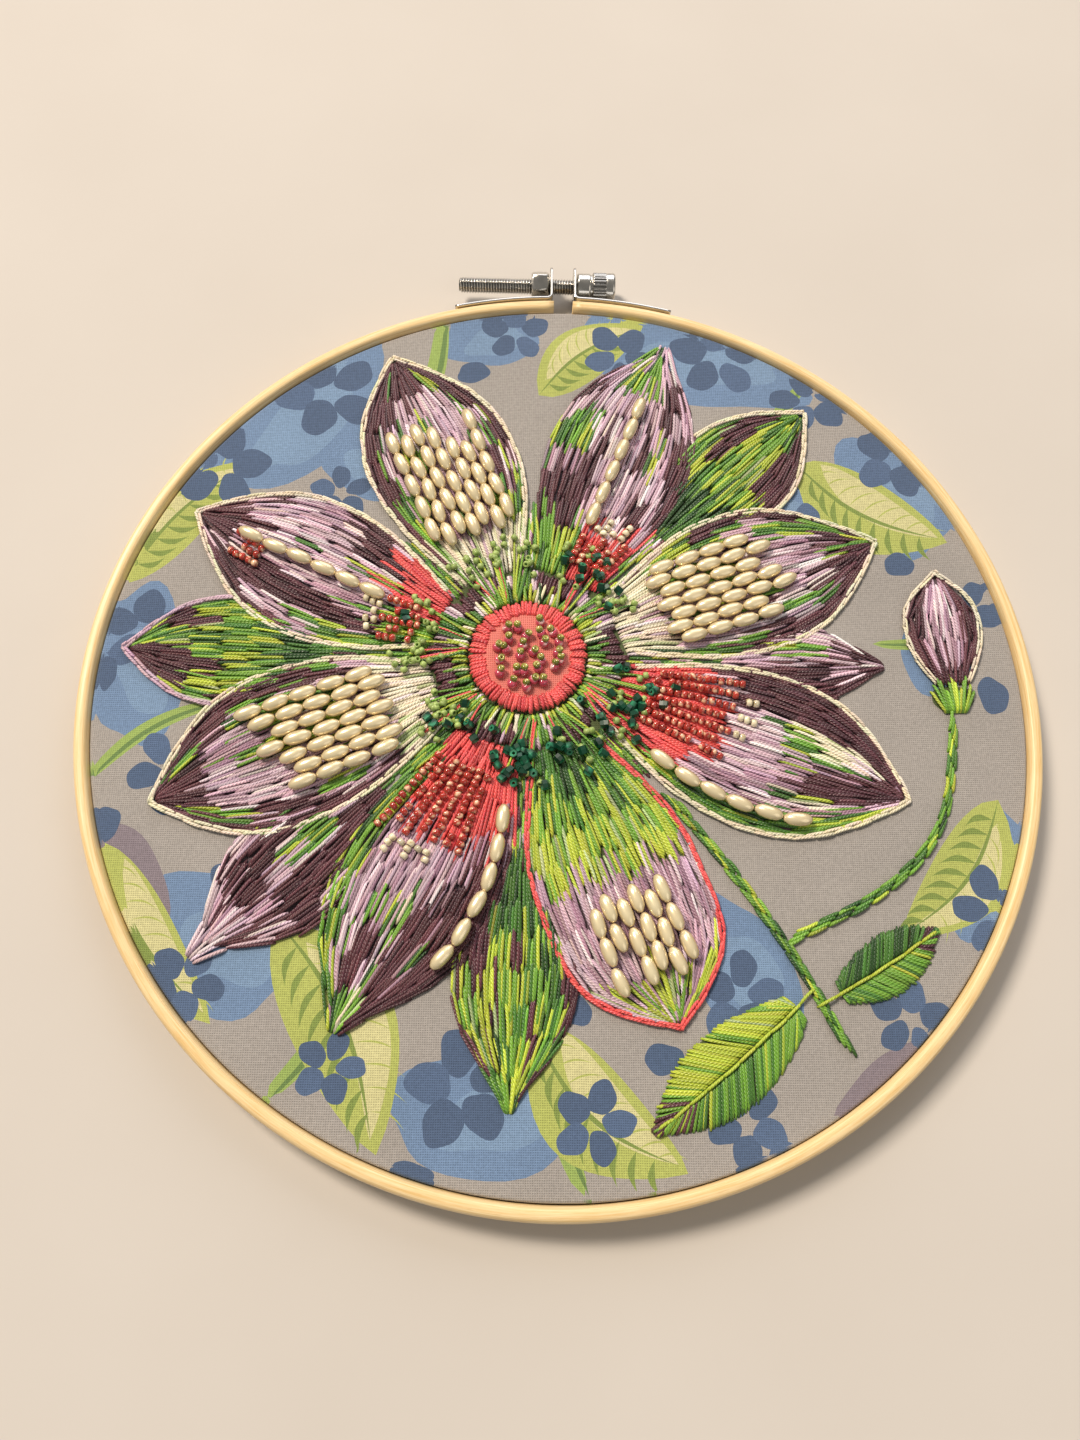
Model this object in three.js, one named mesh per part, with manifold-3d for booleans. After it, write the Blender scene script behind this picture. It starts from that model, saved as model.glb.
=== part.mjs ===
// Embroidery hoop with its stitched and beaded cloth, in millimetres, +Z up.
// The hoop lies on its back: both rings stand on z = 0 and the cloth faces up.
// Inside the group the origin is the rings' centre and the screw is at +Y.
// The group is then shifted along Y so that the whole part is centred on the origin.
import * as THREE from 'three';
import * as BufferGeometryUtils from 'three/addons/utils/BufferGeometryUtils.js';
import Module from 'manifold-3d';

const wasm = await Module();
wasm.setup();

// ---- driving dimensions ----
const GAP = 0.3; // air between neighbouring pieces
const RING_RADIUS = 106; // outside of the outer ring
const RING_WALL = 3.4;
const RING_HEIGHT = 9;
const RING_ROUNDING = 1.1;
const RING_SPLIT = 4.8; // saw cut through the outer ring
const INNER_RING_HEIGHT = 6.5;
const CLOTH_THICKNESS = 1;
const CLOTH_HEM_HEIGHT = 0.8; // the trimmed edge stays this far above the floor
const CLOTH_SHOULDER = 1.2; // how softly the cloth turns over the inner ring

const PLATE_THICKNESS = 0.7;
const PLATE_WIDTH = 8; // along Z
const PLATE_REACH = 27; // from the screw gap to the plate's far end, along X
const PLATE_BEND = 0.8; // inside radius of the bend into the ear
const EAR_FACE = 2.6; // half the gap between the two ears
const EAR_RISE = 4.1; // ear top above the screw axis
const EAR_ROUNDING = 2.6;
const EAR_HOLE = 2.2; // radius
const BRAD_RADIUS = 1.1;
const BRAD_HEIGHT = 0.4;
const BRAD_INSET = 1.6; // brad head to the plate's far end

const SCREW_RISE = 7; // screw axis outside the outer ring's wall
const SCREW_RADIUS = 1.92;
const SCREW_TAIL = 26.5; // free end of the thread, along -X
const HEAD_RADIUS = 3.7;
const HEAD_COLLAR = 3.4; // smooth part next to the ear
const HEAD_GROOVE = 0.6;
const HEAD_KNURL = 3.5;
const HEAD_RIM = 2.3;
const KNURL_DEPTH = 0.22;
const ROUND_FACES = 32; // faces around the screw, two for each flute of the knurl
const NUT_ACROSS_FLATS = 6.6;
const NUT_LENGTH = 4.4;
const NUT_BORE = 2.02; // radius to the flats of the bore
const NUT_TURN = 50; // degrees from +Y to the first flat

const RING_FACES = 72; // faces around each ring and the cloth
const STITCH_HEIGHT = 0.8; // raised stitching at its edge
const STITCH_CROWN = 0.35; // and its extra height in the middle
const PEARL_WIDTH = 3;
const PEARL_PITCH = 6.2; // one pearl after the next along a thread
const SEED_HEIGHT = 1.7;
const BLOOM = { x: -8, y: 9 }; // middle of the flower

// ---- sizes that follow from them ----
const RING_INSIDE = RING_RADIUS - RING_WALL;
const CLOTH_OUTSIDE = RING_INSIDE - GAP;
const CLOTH_INSIDE = CLOTH_OUTSIDE - CLOTH_THICKNESS;
const INNER_OUTSIDE = CLOTH_INSIDE - GAP;
const INNER_INSIDE = INNER_OUTSIDE - RING_WALL;
const CLOTH_UNDER = INNER_RING_HEIGHT + GAP;
const CLOTH_FACE = CLOTH_UNDER + CLOTH_THICKNESS;
const STITCH_BASE = CLOTH_FACE + GAP;
const BEAD_BASE = STITCH_BASE + STITCH_HEIGHT + STITCH_CROWN + GAP;
const SCREW_Y = RING_RADIUS + SCREW_RISE;
const SCREW_Z = RING_HEIGHT / 2;
const EAR_OUTSIDE = EAR_FACE + PLATE_THICKNESS;
const PART_SHIFT = -(SCREW_Y + EAR_RISE - RING_RADIUS) / 2;

// ---- the embroidery, one row for each stitched piece ----
// angle: direction from the middle of the flower, degrees; root: distance of its inner end from there
// swing: sideways drift of the tip; tip: 1.2 pointed, 2.2 round; colour of its main thread
const PETALS = [
  { name: 'petal_1', angle: 112, root: 23, length: 61, width: 34, swing: 2, tip: 1.25, colour: '#C9AAB4' },
  { name: 'petal_2', angle: 157, root: 23, length: 60, width: 33, swing: -2, tip: 1.2, colour: '#5C3536' },
  { name: 'petal_3', angle: 202, root: 23, length: 62, width: 34.5, swing: 2, tip: 1.35, colour: '#C9AAB4' },
  { name: 'petal_4', angle: 247, root: 23, length: 64, width: 34, swing: -3, tip: 1.25, colour: '#C48D95' },
  { name: 'petal_5', angle: 291, root: 23, length: 61, width: 34, swing: 1, tip: 2.2, colour: '#9FA94A' },
  { name: 'petal_6', angle: 337, root: 23, length: 64, width: 35, swing: 3, tip: 1.3, colour: '#C48D95' },
  { name: 'petal_7', angle: 22, root: 23, length: 62, width: 34, swing: -2, tip: 1.2, colour: '#C9AAB4' },
  { name: 'petal_8', angle: 67, root: 23, length: 64, width: 34, swing: 2, tip: 1.3, colour: '#5C3536' },
];
const PETAL_NECK = 0.42; // width at the root, as a share of the full width
const PETAL_WIDEST = 0.5; // where the full width is reached, as a share of the length
const PETAL_BLUNT = 0.96; // 1 would close the tip to a point

// petals behind the first eight, of which only the part beyond their neighbours is stitched
const BACK_PETALS = [
  { name: 'back_petal_1', angle: 179.5, root: 44, length: 44, width: 25, swing: 0, tip: 1.2, colour: '#6FA03C' },
  { name: 'back_petal_2', angle: 224.5, root: 44, length: 47, width: 26, swing: 0, tip: 1.15, colour: '#5C3536' },
  { name: 'back_petal_3', angle: 268.5, root: 44, length: 49, width: 26, swing: 0, tip: 1.2, colour: '#6FA03C' },
  { name: 'back_petal_4', angle: 359.5, root: 44, length: 34, width: 19, swing: 0, tip: 1.2, colour: '#5C3536' },
  { name: 'back_petal_5', angle: 44.5, root: 44, length: 48, width: 26, swing: 0, tip: 1.15, colour: '#6FA03C' },
];
const PETAL_STEPS = 10; // along each petal

// leaves and the bud start at a point of the stem instead
const SPRAY = [
  { name: 'leaf_1', x: 56.4, y: -63, angle: 28, length: 25, width: 12, swing: 1.5, tip: 1.2, colour: '#7C9648' },
  { name: 'leaf_2', x: 47, y: -66, angle: 222, length: 38, width: 16, swing: -2, tip: 1.15, colour: '#586930' },
  { name: 'bud', x: 87, y: 5, angle: 95, length: 26, width: 16.5, swing: -1, tip: 1.4, colour: '#C9AAB4' },
  { name: 'bud_cup', x: 87, y: -2.4, angle: 92, length: 6.6, width: 10, swing: 0, tip: 3, colour: '#586930' },
];
const STEM_WIDTH = 2.4;
const STEMS = [
  { name: 'stem_main', points: [[26.5, -27], [38, -42], [49, -59], [58, -76]], colour: '#8FA65C' },
  { name: 'stem_bud', points: [[48, -51.5], [67, -42], [81, -27], [86.8, -4]], colour: '#8FA65C' },
];
const STEM_STEPS = 14;

// oval pearls: rows follow the petal's length, columns lie side by side, across is the middle of
// the columns as a share of the half width, spread is how much the columns fan out
const PEARLS = [
  { name: 'pearls_1', petal: 0, from: 9, rows: 5, columns: 7, pitch: 3.2, spread: 0.24, across: 0 },
  { name: 'pearls_2', petal: 1, from: 12, rows: 6, columns: 1, pitch: 3.2, spread: 0, across: 0 },
  { name: 'pearls_3', petal: 2, from: 9, rows: 5, columns: 7, pitch: 3.2, spread: 0.24, across: 0 },
  { name: 'pearls_4', petal: 3, from: 10, rows: 6, columns: 1, pitch: 3.2, spread: 0, across: 0.78 },
  { name: 'pearls_5', petal: 4, from: 33, rows: 3, columns: 7, pitch: 3.3, spread: 0, across: 0 },
  { name: 'pearls_6', petal: 5, from: 10, rows: 6, columns: 1, pitch: 3.2, spread: 0, across: -0.78 },
  { name: 'pearls_7', petal: 6, from: 9, rows: 5, columns: 7, pitch: 3.2, spread: 0.24, across: 0 },
  { name: 'pearls_8', petal: 7, from: 12, rows: 6, columns: 1, pitch: 3.2, spread: 0, across: 0 },
];
const SEED_ROWS = [
  { name: 'seed_rows_4', petal: 3, from: 5, length: 20, columns: 7, pitch: 1.9, spread: 0.6, across: -0.25 },
  { name: 'seed_rows_6', petal: 5, from: 5, length: 20, columns: 7, pitch: 1.9, spread: 0.6, across: 0.25 },
];

const BUTTON_RADIUS = 12.8; // padded coral disc in the middle
const BUTTON_HEIGHT = 1.9;
const CUP_RADIUS = 21; // ring of radial stitches around it
const CUP_LOBES = 12;
const CUP_LOBE_DEPTH = 0.9;

// ---- shared shapes ----
const degrees = THREE.MathUtils.degToRad;

function material(colour, roughness, metalness = 0) {
  return new THREE.MeshStandardMaterial({ color: colour, roughness, metalness });
}

// Only positions are kept, so that faces which share a corner share its vertex.
function welded(geometry) {
  const bare = geometry.clone();
  bare.deleteAttribute('normal');
  bare.deleteAttribute('uv');
  return BufferGeometryUtils.mergeVertices(bare, 1e-4);
}

function toSolid(geometry) {
  const { index, attributes } = welded(geometry);
  const vertProperties = new Float32Array(attributes.position.array);
  const triVerts = new Uint32Array(index.array);
  const solid = new wasm.Manifold(new wasm.Mesh({ numProp: 3, vertProperties, triVerts }));
  if (solid.volume() > 0) return solid;
  triVerts.reverse();
  return new wasm.Manifold(new wasm.Mesh({ numProp: 3, vertProperties, triVerts }));
}

function toGeometry(solid) {
  const mesh = solid.getMesh();
  const geometry = new THREE.BufferGeometry();
  geometry.setAttribute('position', new THREE.BufferAttribute(mesh.vertProperties, 3));
  geometry.setIndex(new THREE.BufferAttribute(mesh.triVerts, 1));
  return geometry;
}

// A closed profile of [radius, height] pairs turned about the Z axis.
function turned(profile, faces) {
  const points = profile.map(([radius, height]) => new THREE.Vector2(radius, height));
  return new THREE.LatheGeometry(points, faces).rotateX(Math.PI / 2);
}

// The same about the screw's axis, with [radius, x] pairs.
function turnedOnScrew(profile, faces) {
  const points = profile.map(([radius, along]) => new THREE.Vector2(radius, along));
  const geometry = new THREE.LatheGeometry(points, faces).rotateZ(-Math.PI / 2);
  return geometry.translate(0, SCREW_Y, SCREW_Z);
}

// A patch that is raised from a flat underside: top(u, v) gives a point of the upper face for
// u and v from 0 to 1, and the wall drops straight from its rim to the height below.
function raised(stepsU, stepsV, top, below) {
  const positions = [];
  const faces = [];
  const at = (i, j) => i * (stepsV + 1) + j;
  for (let i = 0; i <= stepsU; i += 1) {
    for (let j = 0; j <= stepsV; j += 1) positions.push(...top(i / stepsU, j / stepsV));
  }
  for (let i = 0; i < stepsU; i += 1) {
    for (let j = 0; j < stepsV; j += 1) {
      faces.push(at(i, j), at(i + 1, j), at(i + 1, j + 1));
      faces.push(at(i, j), at(i + 1, j + 1), at(i, j + 1));
    }
  }
  const rim = [];
  for (let i = 0; i < stepsU; i += 1) rim.push(at(i, 0));
  for (let j = 0; j < stepsV; j += 1) rim.push(at(stepsU, j));
  for (let i = stepsU; i > 0; i -= 1) rim.push(at(i, stepsV));
  for (let j = stepsV; j > 0; j -= 1) rim.push(at(0, j));
  const under = positions.length / 3;
  const outline = rim.map((k) => new THREE.Vector2(positions[3 * k], positions[3 * k + 1]));
  for (const point of outline) positions.push(point.x, point.y, below);
  for (let k = 0; k < rim.length; k += 1) {
    const next = (k + 1) % rim.length;
    faces.push(rim[k], under + k, under + next);
    faces.push(rim[k], under + next, rim[next]);
  }
  for (const [a, b, c] of THREE.ShapeUtils.triangulateShape(outline, [])) {
    faces.push(under + c, under + b, under + a);
  }
  const geometry = new THREE.BufferGeometry();
  geometry.setAttribute('position', new THREE.Float32BufferAttribute(positions, 3));
  geometry.setIndex(faces);
  return toGeometry(toSolid(geometry));
}

// Half the width of a petal or leaf at the share s of its length: it swells from a narrow neck
// as a sine, then closes as a cosine whose exponent makes the tip pointed or round.
function halfWidth(row, s) {
  if (s < PETAL_WIDEST) {
    const swell = Math.sin((Math.PI / 2) * (s / PETAL_WIDEST));
    return (row.width / 2) * (PETAL_NECK + (1 - PETAL_NECK) * swell);
  }
  const close = ((s - PETAL_WIDEST) / (1 - PETAL_WIDEST)) ** row.tip;
  return (row.width / 2) * Math.cos((Math.PI / 2) * PETAL_BLUNT * close);
}

// The point at the share s of the length and the distance aside from the middle line.
function petalPoint(row, s, aside) {
  const turn = degrees(row.angle);
  const startX = row.root === undefined ? row.x : BLOOM.x + row.root * Math.cos(turn);
  const startY = row.root === undefined ? row.y : BLOOM.y + row.root * Math.sin(turn);
  const across = aside + row.swing * s * s;
  const x = startX + row.length * s * Math.cos(turn) - across * Math.sin(turn);
  const y = startY + row.length * s * Math.sin(turn) + across * Math.cos(turn);
  return [x, y];
}

// ---- wooden rings ----
function roundedBand(inside, outside, bottom, top, rounding, steps) {
  const corners = [
    [inside + rounding, bottom + rounding, 180],
    [outside - rounding, bottom + rounding, 270],
    [outside - rounding, top - rounding, 0],
    [inside + rounding, top - rounding, 90],
  ];
  const profile = [];
  for (const [radius, height, start] of corners) {
    for (let k = 0; k <= steps; k += 1) {
      const angle = degrees(start + (90 * k) / steps);
      profile.push([radius + rounding * Math.cos(angle), height + rounding * Math.sin(angle)]);
    }
  }
  profile.push(profile[0]);
  return profile;
}

function outerRing() {
  const profile = roundedBand(RING_INSIDE, RING_RADIUS, 0, RING_HEIGHT, RING_ROUNDING, 2);
  const saw = new THREE.BoxGeometry(RING_SPLIT, 4 * RING_WALL, 3 * RING_HEIGHT);
  saw.translate(0, RING_RADIUS - RING_WALL / 2, RING_HEIGHT / 2);
  return toGeometry(toSolid(turned(profile, RING_FACES)).subtract(toSolid(saw)));
}

function innerRing() {
  const profile = roundedBand(INNER_INSIDE, INNER_OUTSIDE, 0, INNER_RING_HEIGHT, RING_ROUNDING / 2, 1);
  return toGeometry(toSolid(turned(profile, RING_FACES)));
}

// ---- cloth: a drawn disc whose edge turns down between the rings ----
function cloth() {
  const outer = CLOTH_OUTSIDE - CLOTH_SHOULDER;
  const inner = CLOTH_INSIDE - CLOTH_SHOULDER / 2;
  const turn = CLOTH_SHOULDER * Math.SQRT1_2;
  return toGeometry(toSolid(turned([
    [0, CLOTH_UNDER],
    [inner, CLOTH_UNDER],
    [CLOTH_INSIDE, CLOTH_UNDER - CLOTH_SHOULDER / 2],
    [CLOTH_INSIDE, CLOTH_HEM_HEIGHT],
    [CLOTH_OUTSIDE, CLOTH_HEM_HEIGHT],
    [CLOTH_OUTSIDE, CLOTH_FACE - CLOTH_SHOULDER],
    [outer + turn, CLOTH_FACE - CLOTH_SHOULDER + turn],
    [outer, CLOTH_FACE],
    [0, CLOTH_FACE],
  ], RING_FACES)));
}

// ---- closure: two bent plates, the nut and the thumb screw ----
// The right plate: a leg along the ring's wall, a bend, and an upright ear with the screw's hole.
function rightPlate() {
  const inside = RING_RADIUS + GAP;
  const outside = inside + PLATE_THICKNESS;
  const bendX = EAR_OUTSIDE + PLATE_BEND;
  const bendY = Math.sqrt(outside ** 2 - bendX ** 2) + PLATE_BEND;
  const earStart = bendY + PLATE_BEND;
  const legEnd = Math.acos(PLATE_REACH / inside);
  const leg = new THREE.Shape();
  leg.moveTo(EAR_OUTSIDE, earStart);
  leg.lineTo(EAR_OUTSIDE, bendY);
  leg.absarc(bendX, bendY, PLATE_BEND, Math.PI, 1.5 * Math.PI, false);
  leg.absarc(0, 0, outside, Math.acos(bendX / outside), legEnd, true);
  leg.absarc(0, 0, inside, legEnd, Math.acos(bendX / inside), false);
  leg.absarc(bendX, bendY, PLATE_BEND + PLATE_THICKNESS, 1.5 * Math.PI, Math.PI, true);
  leg.lineTo(EAR_FACE, earStart);
  leg.closePath();
  const legSolid = new THREE.ExtrudeGeometry(leg, { depth: PLATE_WIDTH, bevelEnabled: false, curveSegments: 6 });
  legSolid.translate(0, 0, SCREW_Z - PLATE_WIDTH / 2);

  const half = PLATE_WIDTH / 2;
  const foot = earStart - PLATE_BEND / 2 - SCREW_Y;
  const ear = new THREE.Shape();
  ear.moveTo(-half, foot);
  ear.lineTo(half, foot);
  ear.absarc(half - EAR_ROUNDING, EAR_RISE - EAR_ROUNDING, EAR_ROUNDING, 0, Math.PI / 2, false);
  ear.absarc(EAR_ROUNDING - half, EAR_RISE - EAR_ROUNDING, EAR_ROUNDING, Math.PI / 2, Math.PI, false);
  ear.closePath();
  const hole = new THREE.Path();
  hole.absarc(0, 0, EAR_HOLE, 0, 2 * Math.PI, true);
  ear.holes.push(hole);
  const earSolid = new THREE.ExtrudeGeometry(ear, { depth: PLATE_THICKNESS, bevelEnabled: false, curveSegments: 8 });
  // the ear is drawn in (Z, Y) and extruded along X
  const upright = new THREE.Matrix4().makeBasis(
    new THREE.Vector3(0, 0, 1),
    new THREE.Vector3(0, 1, 0),
    new THREE.Vector3(1, 0, 0),
  );
  earSolid.applyMatrix4(upright).translate(EAR_FACE, SCREW_Y, SCREW_Z);

  const bradAngle = legEnd + BRAD_INSET / outside;
  const brad = new THREE.CylinderGeometry(BRAD_RADIUS / 2, BRAD_RADIUS, BRAD_HEIGHT + PLATE_THICKNESS / 2, 10);
  brad.translate(0, outside - PLATE_THICKNESS / 2 + (BRAD_HEIGHT + PLATE_THICKNESS / 2) / 2, 0);
  brad.rotateZ(bradAngle - Math.PI / 2).translate(0, 0, SCREW_Z);
  return toSolid(legSolid).add(toSolid(earSolid)).add(toSolid(brad));
}

function leftPlate() {
  return rightPlate().scale([-1, 1, 1]);
}

function nut() {
  const flats = new THREE.Shape();
  const corner = NUT_ACROSS_FLATS / 2 / Math.cos(Math.PI / 6);
  for (let k = 0; k < 6; k += 1) {
    const angle = degrees(NUT_TURN + 30 + 60 * k);
    const point = [corner * Math.cos(angle), corner * Math.sin(angle)];
    if (k === 0) flats.moveTo(...point);
    else flats.lineTo(...point);
  }
  flats.closePath();
  const bore = new THREE.Path();
  bore.absarc(0, 0, NUT_BORE / Math.cos(Math.PI / 16), 0, 2 * Math.PI, true);
  flats.holes.push(bore);
  const block = new THREE.ExtrudeGeometry(flats, { depth: NUT_LENGTH, bevelEnabled: false, curveSegments: 16 });
  // drawn in (Y, Z) and extruded along X
  const onAxis = new THREE.Matrix4().makeBasis(
    new THREE.Vector3(0, 1, 0),
    new THREE.Vector3(0, 0, 1),
    new THREE.Vector3(1, 0, 0),
  );
  block.applyMatrix4(onAxis).translate(-EAR_OUTSIDE - GAP - NUT_LENGTH, SCREW_Y, SCREW_Z);
  return toGeometry(toSolid(block));
}

function screw() {
  const headStart = EAR_OUTSIDE + GAP;
  const grooveStart = headStart + HEAD_COLLAR;
  const knurlStart = grooveStart + HEAD_GROOVE;
  const knurlEnd = knurlStart + HEAD_KNURL;
  const headEnd = knurlEnd + HEAD_RIM;
  const chamfer = 0.5;
  const geometry = turnedOnScrew([
    [0, -SCREW_TAIL],
    [SCREW_RADIUS - chamfer, -SCREW_TAIL],
    [SCREW_RADIUS, -SCREW_TAIL + chamfer],
    [SCREW_RADIUS, headStart],
    [HEAD_RADIUS - chamfer, headStart],
    [HEAD_RADIUS - chamfer / 2, headStart + chamfer],
    [HEAD_RADIUS - chamfer / 2, grooveStart],
    [HEAD_RADIUS - chamfer, grooveStart],
    [HEAD_RADIUS - chamfer, knurlStart],
    [HEAD_RADIUS, knurlStart],
    [HEAD_RADIUS, knurlEnd],
    [HEAD_RADIUS, knurlEnd + chamfer / 2],
    [HEAD_RADIUS, headEnd - chamfer],
    [HEAD_RADIUS - chamfer, headEnd],
    [0, headEnd],
  ], ROUND_FACES);
  // every second corner of the knurled band is pressed in
  const points = geometry.attributes.position;
  for (let k = 0; k < points.count; k += 1) {
    const y = points.getY(k) - SCREW_Y;
    const z = points.getZ(k) - SCREW_Z;
    const inBand = points.getX(k) > knurlStart - 0.01 && points.getX(k) < knurlEnd + 0.01;
    const face = Math.round((Math.atan2(z, y) / (2 * Math.PI)) * ROUND_FACES);
    if (inBand && Math.hypot(y, z) > HEAD_RADIUS - 0.01 && Math.abs(face % 2) === 1) {
      const shrink = (HEAD_RADIUS - KNURL_DEPTH) / HEAD_RADIUS;
      points.setXYZ(k, points.getX(k), SCREW_Y + y * shrink, SCREW_Z + z * shrink);
    }
  }
  return toGeometry(toSolid(geometry));
}

// ---- raised stitching ----
function stitchedPatch(row) {
  const stepsAcross = 6;
  return raised(PETAL_STEPS, stepsAcross, (u, v) => {
    const side = 2 * v - 1;
    const height = STITCH_HEIGHT + STITCH_CROWN * (1 - side * side) * Math.sin(Math.PI * u);
    return [...petalPoint(row, u, side * halfWidth(row, u)), STITCH_BASE + height];
  }, STITCH_BASE);
}

// The edge of a petal, anticlockwise from its root.
function petalOutline(row) {
  const outline = [];
  for (let i = 0; i <= PETAL_STEPS; i += 1) {
    outline.push(petalPoint(row, i / PETAL_STEPS, -halfWidth(row, i / PETAL_STEPS)));
  }
  for (let i = PETAL_STEPS; i >= 0; i -= 1) {
    outline.push(petalPoint(row, i / PETAL_STEPS, halfWidth(row, i / PETAL_STEPS)));
  }
  return outline;
}

function backPetal(row) {
  const clearance = GAP + 0.1;
  let solid = toSolid(stitchedPatch(row));
  for (const petal of PETALS) {
    const grown = new wasm.CrossSection([petalOutline(petal)]).offset(clearance, 'Miter', 2);
    solid = solid.subtract(wasm.Manifold.extrude(grown, 4 * RING_HEIGHT).translate([0, 0, -RING_HEIGHT]));
  }
  return toGeometry(solid);
}

function stem(row) {
  const route = new THREE.CatmullRomCurve3(row.points.map(([x, y]) => new THREE.Vector3(x, y, 0)));
  return raised(STEM_STEPS, 2, (u, v) => {
    const point = route.getPoint(u);
    const along = route.getTangent(u);
    const aside = (v - 0.5) * STEM_WIDTH;
    const height = STITCH_HEIGHT * (v === 0.5 ? 1 : 0.6);
    return [point.x - along.y * aside, point.y + along.x * aside, STITCH_BASE + height];
  }, STITCH_BASE);
}

function button() {
  const low = STITCH_BASE + BUTTON_HEIGHT / 2;
  return toGeometry(toSolid(turned([
    [0, STITCH_BASE],
    [BUTTON_RADIUS, STITCH_BASE],
    [BUTTON_RADIUS, low],
    [BUTTON_RADIUS - 1.5, STITCH_BASE + BUTTON_HEIGHT - 0.2],
    [0, STITCH_BASE + BUTTON_HEIGHT],
  ], 24).translate(BLOOM.x, BLOOM.y, 0)));
}

// The lobes move only the outer rim, as a cosine around the ring.
function cupRing() {
  const inside = BUTTON_RADIUS + GAP;
  const geometry = turned([
    [inside, STITCH_BASE],
    [CUP_RADIUS, STITCH_BASE],
    [CUP_RADIUS, STITCH_BASE + STITCH_HEIGHT],
    [(inside + CUP_RADIUS) / 2, STITCH_BASE + STITCH_HEIGHT + STITCH_CROWN],
    [inside, STITCH_BASE + STITCH_HEIGHT],
    [inside, STITCH_BASE],
  ], 4 * CUP_LOBES);
  const points = geometry.attributes.position;
  for (let k = 0; k < points.count; k += 1) {
    const x = points.getX(k);
    const y = points.getY(k);
    const radius = Math.hypot(x, y);
    if (radius > CUP_RADIUS - 0.01) {
      const grow = 1 + (CUP_LOBE_DEPTH / radius) * Math.cos(CUP_LOBES * Math.atan2(y, x));
      points.setXYZ(k, x * grow, y * grow, points.getZ(k));
    }
  }
  return toGeometry(toSolid(geometry.translate(BLOOM.x, BLOOM.y, 0)));
}

// ---- beads: each pearl is a bump of the patch, its heights as shares of the pearl's thickness ----
const BUMP_ALONG = [0, 0.8, 1, 0.8];
const BUMP_ACROSS = [0, 0.95, 0.95];
const BEAD_FOOT = 0.4; // thread and foot between the bumps

function pearlPatch(row) {
  const petal = PETALS[row.petal];
  const run = row.rows * PEARL_PITCH;
  const steps = BUMP_ALONG.length * row.rows;
  const files = BUMP_ACROSS.length * row.columns;
  return raised(steps, files, (u, v) => {
    const s = (row.from + u * run) / petal.length;
    const fan = row.pitch * (1 + row.spread * u);
    const aside = row.across * halfWidth(petal, s) + (v - 0.5) * row.columns * fan;
    const along = BUMP_ALONG[Math.round(steps * u) % BUMP_ALONG.length];
    const across = BUMP_ACROSS[Math.round(files * v) % BUMP_ACROSS.length];
    const height = BEAD_FOOT + (PEARL_WIDTH - BEAD_FOOT) * along * across;
    return [...petalPoint(petal, s, aside), BEAD_BASE + height];
  }, BEAD_BASE);
}

// Threaded seed beads show as ribs, two steps wide.
function seedPatch(row) {
  const petal = PETALS[row.petal];
  return raised(3, 2 * row.columns, (u, v) => {
    const s = (row.from + u * row.length) / petal.length;
    const fan = row.pitch * (1 + row.spread * u);
    const aside = row.across * halfWidth(petal, s) + (v - 0.5) * row.columns * fan;
    const onRib = Math.round(2 * row.columns * v) % 2 === 1;
    return [...petalPoint(petal, s, aside), BEAD_BASE + (onRib ? SEED_HEIGHT : BEAD_FOOT)];
  }, BEAD_BASE);
}

// ---- the whole part ----
const beech = material('#E9C98C', 0.5);
const nickel = material('#B9B7B0', 0.3, 1);
const cotton = material('#A9A096', 0.9);
const pearl = material('#E9DDBF', 0.25);
const coral = material('#E0605F', 0.7);
const coralGlass = material('#B4564A', 0.2);

const group = new THREE.Group();
group.position.y = PART_SHIFT;

function piece(name, geometry, finish) {
  const mesh = new THREE.Mesh(geometry, finish);
  mesh.name = name;
  group.add(mesh);
}

piece('outer_ring', outerRing(), beech);
piece('inner_ring', innerRing(), beech);
piece('cloth', cloth(), cotton);
piece('plate_right', toGeometry(rightPlate()), nickel);
piece('plate_left', toGeometry(leftPlate()), nickel);
piece('nut', nut(), nickel);
piece('screw', screw(), nickel);
for (const row of [...PETALS, ...SPRAY]) piece(row.name, stitchedPatch(row), material(row.colour, 0.6));
for (const row of BACK_PETALS) piece(row.name, backPetal(row), material(row.colour, 0.6));
for (const row of STEMS) piece(row.name, stem(row), material(row.colour, 0.6));
piece('button', button(), coral);
piece('cup_ring', cupRing(), material('#5C3536', 0.6));
for (const row of PEARLS) piece(row.name, pearlPatch(row), pearl);
for (const row of SEED_ROWS) piece(row.name, seedPatch(row), coralGlass);

export default group;
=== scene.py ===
"""An embroidery hoop with its printed, stitched and beaded cloth, lying on its back on a pale floor."""
import math

import bpy
import numpy as np
from mathutils import Matrix, Vector
from mathutils.geometry import delaunay_2d_cdt


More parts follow.
